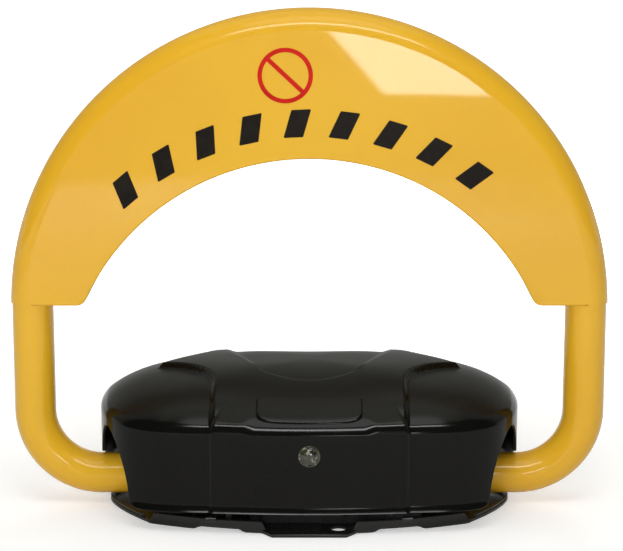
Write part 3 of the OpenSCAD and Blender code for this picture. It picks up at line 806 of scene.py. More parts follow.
@dataclass(frozen=True)
class Film(Finish):
    """Cut vinyl film with a faint stipple from the paint below it."""

    rough: float = 0.26
    spread: float = 0.16
    ior: float = 1.14
    stipple: float = 0.000004

    def surface(self, graph: Graph) -> Sock:
        """Build the shader.

        Args:
            graph: The material's empty node tree.

        Returns:
            The shader's socket.
        """
        worn = graph.patches(scale=60.0, detail=4.0, low=0.42, high=0.78)
        return graph.principled(
            Base_Color=graph.mix(worn, self.colour, self.shade),
            Roughness=self.rough + self.spread * worn,
            IOR=self.ior,
            Normal=graph.bump(graph.noise(scale=230.0, detail=1.5), self.stipple),
        )


@dataclass(frozen=True)
class ClearPlastic(Finish):
    """Clear moulded plastic; its colour is painted shade for the dark inside, with painted glints.
    """

    painted_glint: Colour
    painted_glint_tone: float = 0.7
    rough: float = 0.05
    spread: float = 0.1
    ior: float = 1.49
    clear: float = 0.15
    coat: float = 0.6
    coat_rough: float = 0.03
    depth: float = 0.0003

    def surface(self, graph: Graph) -> Sock:
        """Build the shader.

        Args:
            graph: The material's empty node tree.

        Returns:
            The shader's socket.
        """
        # Painted shade: the dark inside seen through the lens, drawn in facets; painted glints:
        # bright flecks.
        facets = graph.patches(scale=210.0, detail=2.0, low=0.34, high=0.66)
        painted_glints = graph.patches(scale=340.0, detail=1.0, low=0.6, high=0.74)
        behind = graph.mix(facets, self.shade, self.colour)
        return graph.principled(
            Base_Color=graph.mix(painted_glints * self.painted_glint_tone, behind, self.painted_glint),
            Roughness=self.rough + self.spread * painted_glints,
            IOR=self.ior,
            Transmission_Weight=self.clear,
            Coat_Weight=self.coat,
            Coat_Roughness=self.coat_rough,
            Normal=graph.bump(facets, self.depth),
        )


YELLOW_PAINT = PowderCoat(
    "yellow_powder_coat", srgb(231, 179, 42), srgb(225, 170, 40), srgb(246, 214, 140),
    gloss=0.30, spread=0.06, peel=0.000012, ior=1.2, coat=0.7, dust_share=0.25,
)
BLACK_PAINT = PowderCoat(
    "black_powder_coat", srgb(12, 12, 11), srgb(15, 15, 13), srgb(80, 78, 72),
    gloss=0.12, spread=0.05, peel=0.000003, ior=1.245, coat=0.0, dust_share=0.3, dulled=0.28,
)
PLATE_PAINT = PowderCoat(
    "black_plate_paint", srgb(19, 19, 18), srgb(26, 25, 23), srgb(110, 104, 94),
    gloss=0.26, spread=0.12, peel=0.00001, ior=1.44, coat=0.0, dust_share=0.5,
)
ZINC = Metal(
    "zinc_plate", srgb(205, 206, 200), srgb(168, 168, 158),
    rough=0.28, spread=0.14, grain=(300.0, 300.0, 300.0), depth=0.00002, spangle=0.5,
)
STEEL = Metal(
    "drawn_steel", srgb(176, 178, 182), srgb(138, 138, 140),
    rough=0.30, spread=0.18, grain=(40.0, 900.0, 900.0), depth=0.00003,
)
BRONZE = Metal(
    "sintered_bronze", srgb(196, 150, 88), srgb(150, 108, 60),
    rough=0.38, spread=0.2, grain=(700.0, 700.0, 700.0), depth=0.00004,
)
CAST = Metal(
    "cast_housing", srgb(150, 152, 155), srgb(118, 120, 124),
    rough=0.46, spread=0.2, grain=(420.0, 420.0, 420.0), depth=0.00012,
)
BRASS = Metal(
    "turned_brass", srgb(214, 176, 98), srgb(170, 132, 66),
    rough=0.24, spread=0.16, grain=(500.0, 60.0, 500.0), depth=0.00002,
)
BLACK_PLASTIC = Moulding(
    "black_moulding", srgb(30, 30, 32), srgb(40, 40, 42), rough=0.48, grain=1500.0, depth=0.00005
)
GREY_PLASTIC = Moulding(
    "grey_moulding", srgb(92, 95, 98), srgb(80, 82, 86), rough=0.46, grain=1500.0, depth=0.00005
)
RUBBER = Moulding(
    "black_rubber", srgb(24, 24, 24), srgb(36, 35, 34), rough=0.68, grain=900.0, depth=0.00006
)
CELL_WRAP = Moulding(
    "battery_wrap", srgb(196, 122, 44), srgb(178, 108, 38), rough=0.3, grain=2200.0, depth=0.00002
)
CUP_PLASTIC = Moulding(
    "lamp_cup_moulding", srgb(52, 52, 44), srgb(90, 90, 76), rough=0.3, grain=700.0, depth=0.0001
)
BOARD = CircuitBoard("circuit_board", srgb(16, 92, 58), srgb(120, 150, 70))
BLACK_FILM = Film("black_film", srgb(27, 23, 19), srgb(36, 31, 26))
RED_FILM = Film("red_film", srgb(203, 36, 26), srgb(186, 30, 22))
# Lens colours: dark olive painted shade with pale painted glints.
LENS = ClearPlastic("lens_with_painted_shade", srgb(74, 74, 55), srgb(26, 26, 18), srgb(170, 170, 142))


# Sub-assemblies


@dataclass
class Loop:
    """The pipe loop and the closed sheet sign round its arch."""

    pipe_r: float = 16.0
    arch_r: float = 216.0
    arch_z: float = 155.0
    bend_r: float = 52.0
    axis_z: float = 22.0
    stub_x: float = 124.0
    pin_x: float = 140.0
    pin_r: float = 4.0
    pin_out: float = 0.7
    pin_dome: float = 1.4
    half: float = 17.05
    sign_z: float = 160.0
    sign_in: float = 2.0
    hollow_r: float = 191.0
    hollow_z: float = 83.0
    corner_r: float = 8.0
    edge_r: float = 1.6
    columns: int = 320
    rim_steps: int = 22
    pipe_sides: int = 56
    bend_steps: int = 30
    arch_steps: int = 180
    corner_steps: int = 16
    hollow_steps: int = 240
    edge_turns: Span = (0.0, 90.0, 6)
    pin_sides: int = 32
    pin_turns: Span = (0.0, 1.5, 7)
    crease: float = 60.0
    weight: int = 80

    def pipe(self) -> None:
        """Sweep the pipe along its stubs, bends, legs and arch."""
        low = (self.arch_r - self.bend_r, self.axis_z + self.bend_r)
        right = [(self.stub_x, self.axis_z), *arc(low, self.bend_r, -90, 0, self.bend_steps)]
        arch = arc((0, self.arch_z), self.arch_r, 0, 180, self.arch_steps)
        path = [(x, 0.0, z) for x, z in right + arch + mirrored(right)]
        pipe = sweep("loop_pipe", path, self.pipe_r, YELLOW_PAINT.material(), self.pipe_sides)
        settle(pipe, Body.LOOP, None, ["loop_tube"])

    def lower_path(self) -> tuple[np.ndarray, np.ndarray]:
        """The sign's lower edge from right to left, rounded at its two corners.

        Returns:
            Points in X and Z, and the directions out of the sheet there.
        """
        lift = self.sign_z + self.corner_r - self.hollow_z
        corner_x = math.sqrt((self.hollow_r + self.corner_r) ** 2 - lift**2)
        turn = math.degrees(math.atan2(lift, corner_x))
        centre = (corner_x, self.sign_z + self.corner_r)
        corner = arc(centre, self.corner_r, -90, turn - 180, self.corner_steps)
        right = [(self.arch_r - self.sign_in, self.sign_z), *corner]
        hollow = arc((0, self.hollow_z), self.hollow_r, turn, 180 - turn, self.hollow_steps)
        line = np.array(right + hollow[1:-1] + mirrored(right))
        run = np.concatenate([[0], np.cumsum(np.linalg.norm(np.diff(line, axis=0), axis=1))])
        even = np.linspace(0, run[-1], self.columns + 1)
        path = np.stack([np.interp(even, run, line[:, k]) for k in (0, 1)], axis=1)
        along = np.gradient(path, axis=0)
        along /= np.linalg.norm(along, axis=1)[:, None]
        return path, np.stack([-along[:, 1], along[:, 0]], axis=1)

    def shell(self) -> None:
        """Close the sign's faces, half-round rim and lower band into one sheet shell."""
        path, out = self.lower_path()
        start = math.degrees(math.asin((self.sign_z - self.arch_z) / self.arch_r))
        turns = np.radians(np.linspace(start, 180 - start, self.columns + 1))
        rows: list[list[Point]] = []
        for k in range(self.rim_steps + 1):
            b = -math.pi / 2 + math.pi * k / self.rim_steps
            r, y = self.arch_r + self.half * math.cos(b), self.half * math.sin(b)
            rows.append([(r * math.cos(t), y, self.arch_z + r * math.sin(t)) for t in turns])
        steps = [
            (self.edge_r * (1 - math.sin(a)), self.half - self.edge_r * (1 - math.cos(a)))
            for a in np.radians(np.linspace(*self.edge_turns))
        ]
        for inset, y in steps + [(i, -y) for i, y in reversed(steps)]:
            rows.append([(x, y, z) for x, z in path - out * inset])
        width = self.columns + 1
        last = (len(rows) - 1) * width
        faces = grid_faces(len(rows), width, False)
        faces += [(last + c, last + c + 1, c + 1, c) for c in range(self.columns)]
        faces += [[r * width + c for r in range(len(rows))] for c in (0, self.columns)]
        shell = solid("sign_shell", [p for row in rows for p in row], faces, self.crease)
        modifier = shell.modifiers.new("weight", "WEIGHTED_NORMAL")
        modifier.keep_sharp, modifier.weight = True, self.weight
        nodes = ["sign_front", "sign_back", "sign_rim", "sign_edge"]
        settle(plain(shell), Body.LOOP, YELLOW_PAINT, nodes)

    def pins(self) -> None:
        """Drive a domed pin through each stub."""
        root = self.pipe_r + self.pin_out - self.pin_dome
        turns = np.linspace(*self.pin_turns)
        dome = [(self.pin_r * math.cos(a), root + self.pin_dome * math.sin(a)) for a in turns]
        profile = [(r, -h) for r, h in reversed(dome)] + dome
        for name, side in (("stub_pin_left", -1), ("stub_pin_right", 1)):
            pin = lathe(name, profile, (side * self.pin_x, 0, self.axis_z), 1, self.pin_sides)
            settle(pin, Body.LOOP, ZINC, ["stub_pins"])

    def build(self) -> None:
        """Make all of the loop's own pieces."""
        self.pipe()
        self.shell()
        self.pins()


@dataclass
class SignFilms:
    """Cut films on the sign's face: a row of slanted bars and a barred ring."""

    face_y: float = -17.05
    thick: float = 0.18
    sunk: float = 0.05
    arc_z: float = 83.0
    arc_r: float = 218.5
    first: float = 130.0
    step: float = -9.4
    bars: int = 9
    bar_w: float = 15.0
    bar_h: float = 21.0
    slant: float = 7.0
    round_r: float = 0.8
    ring_x: float = -18.2
    ring_z: float = 337.6
    ring_r: float = 21.0
    ring_w: float = 3.4
    ring_turn: float = -43.0
    ring_steps: int = 96
    overlap: float = 0.15
    below: float = 0.02
    crease: float = 30.0

    def bar_row(self) -> None:
        """Set the bars along an arc with Geometry Nodes."""
        tree = PieceTree("bar_films")
        count, radius = tree.size("Bars", self.bars), tree.length("Arc radius", self.arc_r)
        first = tree.size("First angle", math.radians(self.first))
        step = tree.size("Step angle", math.radians(self.step))
        line = tree.node("GeometryNodeMeshLine", {"Count": count})
        turn = first + step * tree.node("GeometryNodeInputIndex")
        spot = tree.vector(turn.function("COSINE") * radius, turn.function("SINE") * radius, 0.0)
        spots = tree.node("GeometryNodeSetPosition", {"Geometry": line, "Position": spot})
        sizes = {
            "Width": tree.length("Bar width", self.bar_w),
            "Height": tree.length("Bar height", self.bar_h),
            "Offset": tree.length("Slant", self.slant),
        }
        quad = "GeometryNodeCurvePrimitiveQuadrilateral"
        outline = tree.node(quad, sizes, mode="PARALLELOGRAM")
        rounding = tree.length("Corner radius", self.round_r)
        corner = {"Curve": outline, "Radius": rounding, "Count": 4}
        softened = tree.node("GeometryNodeFilletCurve", corner, mode="POLY")
        sheet = tree.node("GeometryNodeFillCurve", {"Curve": softened}, mode="NGONS")
        depth = tree.length("Thickness", self.thick)
        raised = {"Mesh": sheet, "Offset Scale": depth, "Individual": False}
        lifted = tree.node("GeometryNodeExtrudeMesh", raised, mode="FACES")
        back = tree.node("GeometryNodeFlipFaces", {"Mesh": sheet})
        bar = tree.node("GeometryNodeJoinGeometry", {"Geometry": [lifted, back]})
        tilt = tree.vector(0.0, 0.0, turn - math.pi / 2)
        placing = {"Points": spots, "Instance": bar, "Rotation": tilt}
        stood = {
            "Geometry": tree.node("GeometryNodeInstanceOnPoints", placing),
            "Rotation": (math.pi / 2, 0.0, 0.0),
            "Translation": (0.0, self.face_y * MM, self.arc_z * MM),
        }
        shape = tree.node("GeometryNodeTransform", stood)
        row = tree.run(blank("bar_films"), shape, BLACK_FILM.material())
        tidy(row, self.crease)
        settle(row, Body.LOOP)

    def barred_ring(self) -> None:
        """Cut a ring with one slanted bar across it."""
        steps, outer, inner = self.ring_steps, self.ring_r, self.ring_r - self.ring_w
        near, far = self.face_y + self.sunk, self.face_y - self.thick
        points: list[Point] = []
        for radius, y in ((outer, near), (outer, far), (inner, far), (inner, near)):
            turn = arc((self.ring_x, self.ring_z), radius, 0, 360 - 360 / steps, steps - 1)
            points += [(x, y, z) for x, z in turn]
        last = 3 * steps
        closing = [(last + c, last + (c + 1) % steps, (c + 1) % steps, c) for c in range(steps)]
        ring = solid("ring_film", points, grid_faces(4, steps) + closing, self.crease)
        settle(ring, Body.LOOP, RED_FILM)
        tilt = math.radians(self.ring_turn)
        along = Vector((math.cos(tilt), math.sin(tilt)))
        across = Vector((-along.y, along.x)) * (self.ring_w / 2)
        reach = along * (inner + self.overlap)
        plan = [reach + across, reach - across, -reach - across, -reach + across]
        slab = [
            [(self.ring_x + c.x, y, self.ring_z + c.y) for c in plan]
            for y in (near, far + self.below)
        ]
        settle(stacked("ring_bar_film", slab, self.crease), Body.LOOP, RED_FILM)

    def build(self) -> None:
        """Make the films."""
        self.bar_row()
        self.barred_ring()


def step01(t: np.ndarray) -> np.ndarray:
    """Smooth step from 0 to 1."""
    u = np.clip(t, 0, 1)
    return u * u * (3 - 2 * u)


@dataclass
class Hood:
    """The domed cover with its creases, pocket, front pad, lamp and rolled lower edge."""

    half_x: float = 163.5
    half_y: float = 86.0
    sheet: float = 2.0
    roof_gap: float = 0.5
    low: float = 16.5
    rim_z: float = 82.0
    dome: float = 34.0
    top_from: float = 0.012
    top_rings: int = 88
    blend_from: float = 0.8
    blend_run: float = 0.2
    corner_power: float = 6.2
    side_power: float = 5.2
    front_power: float = 2.5
    gate_mid: float = 45.0
    gate_half: float = 25.5
    gate_h: float = 56.5
    gate_x: float = 132.0
    gate_from: float = 120.0
    gate_round: float = 6.0
    pipe_z: float = 22.0
    saddle_r: float = 17.5
    saddle_slope: float = 0.283
    crease_x: float = 73.0
    crease_y: float = 52.0
    crease_w: float = 3.0
    crease_lead: float = 0.5
    crease_flare: float = 44.0
    crease_fine: Flat = (66.0, 82.0)
    front_steps: tuple[int, int, int] = (45, 33, 41)
    side_steps: tuple[int, int, int] = (10, 41, 28)
    reach_range: Flat = (0.001, 1.3)
    halvings: int = 36
    side_step: float = 2.0
    side_sink: float = 7.0
    side_rise: float = 5.5
    step_w: float = 4.5
    bulge: float = 3.8
    bulge_past: float = 3.0
    bulge_power: float = 1.5
    notch_half: float = 52.0
    notch_ease: float = 10.0
    notch_from: float = 70.0
    notch_dip: float = 3.5
    notch_power: int = 16
    pocket_half: float = 37.0
    pocket_front: float = 48.0
    pocket_back: float = 60.0
    pocket_deep: float = 2.5
    pocket_bow: float = 13.0
    pocket_slant: float = 0.4
    pocket_widest: float = 62.0
    pocket_mid: float = 0.15
    pocket_edge: float = 2.2
    pocket_ease: float = 7.0
    ease_from: float = 8.0
    ease_run: float = 28.0
    back_edge: float = 8.0
    flare_h: float = 6.0
    flare_out: float = 2.1
    rim_drop: float = 5.0
    rim_tight: float = 2.8
    rim_start: float = 0.965
    rim_in: float = 1.5
    rim_turns: Span = (9.0, 90.0, 10)
    inner_rings: int = 4
    wall_rows: tuple[float, ...] = (
        0.15, 0.3, 0.45, 0.6, 0.75, 0.88, 0.91, 0.935, 0.96, 0.98, 1.0,
    )
    roof_rows: tuple[float, ...] = (0.97, 0.92, 0.85, 0.76, 0.66, 0.55, 0.43, 0.3, 0.17, 0.06)
    hem_r: float = 0.9
    hem_out: float = 0.7
    hem_in: float = 1.0
    hem_sides: int = 12
    lens_z: float = 61.0
    lens_r: float = 6.8
    lens_base: float = 1.3
    lens_dome: float = 3.1
    lens_turns: Span = (0.0, 86.0, 12)
    lens_flange: tuple[Flat, ...] = ((7.2, 0.25), (7.7, 0.25), (8.0, 0.5), (7.9, 0.9), (7.4, 1.2))
    cup: tuple[Flat, ...] = (
        (6.9, -9.0), (6.9, -0.1), (8.2, -0.1), (8.2, 0.2), (5.2, 0.2),
        (4.6, 0.1), (2.2, 0.1), (1.9, 0.6), (0.4, 0.9),
    )
    pad_half: float = 40.0
    pad_low: float = 0.735
    pad_high: float = 0.95
    pad_t: float = 1.4
    pad_root: float = 0.8
    pad_edge: float = 0.93
    pad_turns: Span = (15.0, 90.0, 6)
    pad_closing: float = 0.5
    pad_inner: tuple[float, ...] = (0.25, 0.5, 0.72, 0.86)
    pad_square: Flat = (5.0, 9.0)
    pad_steps: int = 144
    crease: float = 50.0

    def plain_y(self, x: np.ndarray) -> np.ndarray:
        """Half depth at x, bowed out along the middle.

        Args:
            x: Places across.

        Returns:
            The half depths.
        """
        corner = np.maximum(0, 1 - (np.abs(x) / self.half_x) ** self.corner_power)
        bow = np.maximum(0, 1 - (x / (self.crease_x + self.bulge_past)) ** 2)
        return self.half_y * np.sqrt(corner) + self.bulge * bow**self.bulge_power

    def plan_y(self, x: np.ndarray) -> np.ndarray:
        """Half depth at x, with the raised middle."""
        beside = step01((np.abs(x) - self.crease_x + self.crease_lead) / self.crease_w)
        return self.plain_y(x) + self.side_step * (1 - beside)

    def plan_x(self, y: np.ndarray) -> np.ndarray:
        """Half width at y."""
        left = np.maximum(0, 1 - (np.abs(y) / self.half_y) ** 2)
        return self.half_x * left ** (1 / self.corner_power)

    def outline(self) -> np.ndarray:
        """The plan's outline, counter-clockwise from the front's middle.

        Returns:
            Points in X and Y.
        """
        stops = (0.0, *self.crease_fine, self.gate_x)
        runs = [np.linspace(*run)[1:] for run in zip(stops, stops[1:], self.front_steps)]
        front = np.concatenate([[0.0], *runs])
        outer, inner = self.gate_mid + self.gate_half, self.gate_mid - self.gate_half
        before, over, behind = self.side_steps
        turn = np.linspace(float(self.plan_y(np.array(self.gate_x))), outer, before)[1:-1]
        arch = self.gate_mid + self.gate_half * np.cos(np.linspace(0, math.pi, over))
        side = np.concatenate([turn, arch, np.linspace(inner, 0, behind)[1:]])
        lines = (front, -self.plan_y(front)), (self.plan_x(side), -side)
        quarter = np.concatenate([np.stack(line, 1) for line in lines])
        half = np.concatenate([quarter, quarter[-2::-1] * [1, -1]])
        return np.concatenate([half, quarter[1:] * [-1, -1], quarter[-2:0:-1] * [-1, 1]])

    def saddle(self, y: np.ndarray) -> np.ndarray:
        """Height of the edge over the pipe: fitted round its back, and in a line to the front.

        Args:
            y: Distances in front of the pipe's middle.

        Returns:
            The heights.
        """
        top = self.saddle_r / math.hypot(1, self.saddle_slope)
        back = self.saddle_slope * top
        fitted = np.sqrt(np.maximum(0, self.saddle_r**2 - y**2))
        return self.pipe_z + np.where(y < -back, fitted, top + self.saddle_slope * (y + back))

    def wall_low(self, p: np.ndarray) -> np.ndarray:
        """Height of the wall's lower edge: level, with an arch at each side up to the pipe.

        Args:
            p: Points of the outline.

        Returns:
            The heights.
        """
        y = -p[:, 1]
        outer = self.gate_mid + self.gate_half
        share = np.clip((outer + self.gate_round - y) / self.gate_round, 0, 1)
        foot = self.low + self.gate_round * (1 - np.sqrt(1 - share**2))
        across = np.maximum(0, 1 - ((y - self.gate_mid) / self.gate_half) ** 2)
        arch = np.maximum(foot, self.low + self.gate_h * np.sqrt(across))
        arch = np.where(y < self.gate_mid, np.maximum(arch, self.saddle(y)), arch)
        closed = (np.abs(p[:, 0]) < self.gate_from) | (y < -self.saddle_r)
        return np.where(closed, self.low, arch)

    def reach(self, x: np.ndarray, y: np.ndarray) -> np.ndarray:
        """Share of the way out to the outline without the raised middle's step, by halving.

        Args:
            x: Places across.
            y: Places along the depth.

        Returns:
            The shares.
        """
        low, high = (np.full_like(x, end) for end in self.reach_range)
        for _ in range(self.halvings):
            share = (low + high) / 2
            outside = np.abs(y) > self.plain_y(x / share) * share
            beyond = (np.abs(x) > self.half_x * share) | outside
            low, high = np.where(beyond, share, low), np.where(beyond, high, share)
        return (low + high) / 2

    def notch(self, px: np.ndarray, py: np.ndarray) -> np.ndarray:
        """1 along the middle of the front and rear rim, where it steps down."""
        middle = step01((self.notch_half - np.abs(px)) / self.notch_ease)
        return middle * (np.abs(py) > self.notch_from)

    def pocket(self, x: np.ndarray, y: np.ndarray) -> np.ndarray:
        """How far the shallow pocket in the top is sunk at a place, from 0 to 1.

        Args:
            x: Places across.
            y: Places along the depth.

        Returns:
            The shares of its depth.
        """
        half = self.pocket_half + (y + self.pocket_front - self.pocket_bow) * self.pocket_slant
        bow = self.pocket_bow * (x / self.pocket_half) ** 2
        ease = step01((y + self.ease_from) / self.ease_run)
        side_edge = self.pocket_edge + self.pocket_ease * ease
        deep = np.minimum(1, (x / self.pocket_widest) ** 2)
        return (
            (self.pocket_mid + (1 - self.pocket_mid) * deep)
            * step01((np.minimum(half, self.pocket_widest) - np.abs(x)) / side_edge + 0.5)
            * step01((y + self.pocket_front - bow) / self.pocket_edge + 0.5)
            * step01((self.pocket_back - y) / self.back_edge + 0.5)
        )

    def top_z(self, px: np.ndarray, py: np.ndarray, rho: float | np.ndarray) -> np.ndarray:
        """Height of the top at a share of the way out to an outline point.

        Args:
            px: The outline point's X.
            py: The outline point's Y.
            rho: The share, from 0 in the middle to 1 at the outline.

        Returns:
            The height in millimetres.
        """
        x, y = px * rho, py * rho
        ahead = np.maximum(0, 1 - np.abs(y) / self.crease_y)
        flare = self.crease_x + self.crease_flare * ahead**2
        scoop = step01((np.abs(x) - flare) / self.step_w + 0.5)
        u, v = (px / self.half_x) ** 2, (py / self.half_y) ** 2
        side = u / (u + v)
        power = self.front_power + (self.side_power - self.front_power) * side
        rise = self.side_rise * side**2
        dip = self.notch_dip * self.notch(px, py) * rho**self.notch_power
        edge = step01((rho - self.blend_from) / self.blend_run)
        level = self.reach(x, y) * (1 - edge) + rho * edge
        dome = self.rim_z + rise + (self.dome - rise) * (1 - level**power)
        sunk = (self.side_step + self.side_sink * (1 - rho)) * scoop
        return dome - sunk - self.pocket_deep * self.pocket(x, y) - dip

    def flared(self, level: np.ndarray) -> np.ndarray:
        """How near heights are to the lower edge, from 0 above the flare to 1."""
        return np.clip(1 - (level - self.low) / self.flare_h, 0, 1)

    def outward(self, p: np.ndarray) -> np.ndarray:
        """Directions out of the outline at its points.

        Args:
            p: The points.

        Returns:
            Their directions, of length 1.
        """
        along = np.roll(p, -1, axis=0) - np.roll(p, 1, axis=0)
        along /= np.linalg.norm(along, axis=1)[:, None]
        return np.stack([along[:, 1], -along[:, 0]], 1)

    def rows(self) -> list[np.ndarray]:
        """Rings of the closed skin, from the top's middle out, down, in and back up.

        Returns:
            The rings' points.
        """
        p = self.outline()
        px, py = p[:, 0], p[:, 1]
        half = np.array([self.half_x, self.half_y])
        inner = p * ((half - self.sheet) / half)
        low = self.wall_low(p)
        fall = self.rim_drop - self.rim_tight * self.notch(px, py)
        rim = self.top_z(px, py, 1.0) - fall
        out = self.outward(p) * (self.flare_out * self.flared(low))[:, None]
        rings = [
            np.column_stack([p * r, self.top_z(px, py, r)])
            for r in np.linspace(self.top_from, self.rim_start, self.top_rings)
        ]
        for a in np.radians(np.linspace(*self.rim_turns)):
            share = self.rim_start + (1 - self.rim_start) * math.sin(a)
            drop = fall * (1 - math.cos(a))
            rings.append(np.column_stack([p * share, self.top_z(px, py, share) - drop]))
        for t in self.wall_rows:
            level = rim + (low - rim) * t
            rings.append(np.column_stack([p + out * self.flared(level)[:, None] ** 2, level]))
        for t in np.linspace(0, 1, self.inner_rings):
            rings.append(np.column_stack([inner, low + (rim - self.rim_in - low) * t]))
        for r in self.roof_rows:
            roof = self.top_z(px, py, r) - self.sheet - self.roof_gap
            rings.append(np.column_stack([inner * r, roof]))
        return rings

    def skin(self) -> None:
        """Close the rings into the hood and roll its lower edge."""
        skin = stacked("hood", self.rows(), self.crease)
        settle(skin, Body.COVER, BLACK_PAINT, ["cover"])
        p = self.outline()
        low = self.wall_low(p)
        shift = self.flared(low) * (self.hem_out + self.hem_in) - self.hem_in
        path = np.column_stack([p + self.outward(p) * shift[:, None], low])
        ring = [tuple(q) for q in path]
        hem = sweep("hood_hem", ring, self.hem_r, BLACK_PAINT.material(), self.hem_sides, True)
        settle(hem, Body.COVER)

    def pad(self) -> None:
        """Raise a plain rounded pad on the dome's front slope."""
        rounding = np.radians(np.linspace(*self.pad_turns))
        levels = [(s, self.pad_t) for s in (*self.pad_inner, self.pad_edge)]
        levels += [
            (self.pad_edge + (1 - self.pad_edge) * math.sin(a), self.pad_t * math.cos(a))
            for a in rounding
        ]
        levels += [(1.0, -self.pad_root), (self.pad_closing, -self.pad_root)]
        turn = np.linspace(0, math.tau, self.pad_steps, endpoint=False)
        square = np.where(np.sin(turn) > 0, *self.pad_square)
        round_off = np.abs(np.cos(turn)) ** square + np.abs(np.sin(turn)) ** square
        reach = round_off ** (-1 / square)
        middle, half = (self.pad_low + self.pad_high) / 2, (self.pad_high - self.pad_low) / 2
        rings = []
        for scale, lift in levels:
            x = self.pad_half * scale * reach * np.cos(turn)
            rho = middle + half * scale * reach * np.sin(turn)
            px = x / rho
            py = -self.plan_y(px)
            rings.append(np.stack([x, py * rho, self.top_z(px, py, rho) + lift], 1))
        pad = stacked("front_pad", rings, self.crease)
        settle(pad, Body.COVER, BLACK_PAINT, ["blank_plate"])

    def lamp(self) -> None:
        """Turn the clear lamp's lens with its flange and dome, over a dark cup."""
        turns = np.radians(np.linspace(*self.lens_turns))
        rise = [self.lens_base + self.lens_dome * math.sin(a) for a in turns]
        dome = [(self.lens_r * math.cos(a), height) for a, height in zip(turns, rise)]
        front = (0.0, -float(self.plan_y(np.array(0.0))), self.lens_z)
        lens = lathe("lamp_lens", [*self.lens_flange, *dome], front, -1)
        settle(lens, Body.COVER, LENS, ["status_lens"])
        cup = lathe("lamp_cup", self.cup, front, -1)
        settle(cup, Body.COVER, CUP_PLASTIC)

    def build(self) -> None:
        """Make the hood's own pieces."""
        self.skin()
        self.pad()
        self.lamp()


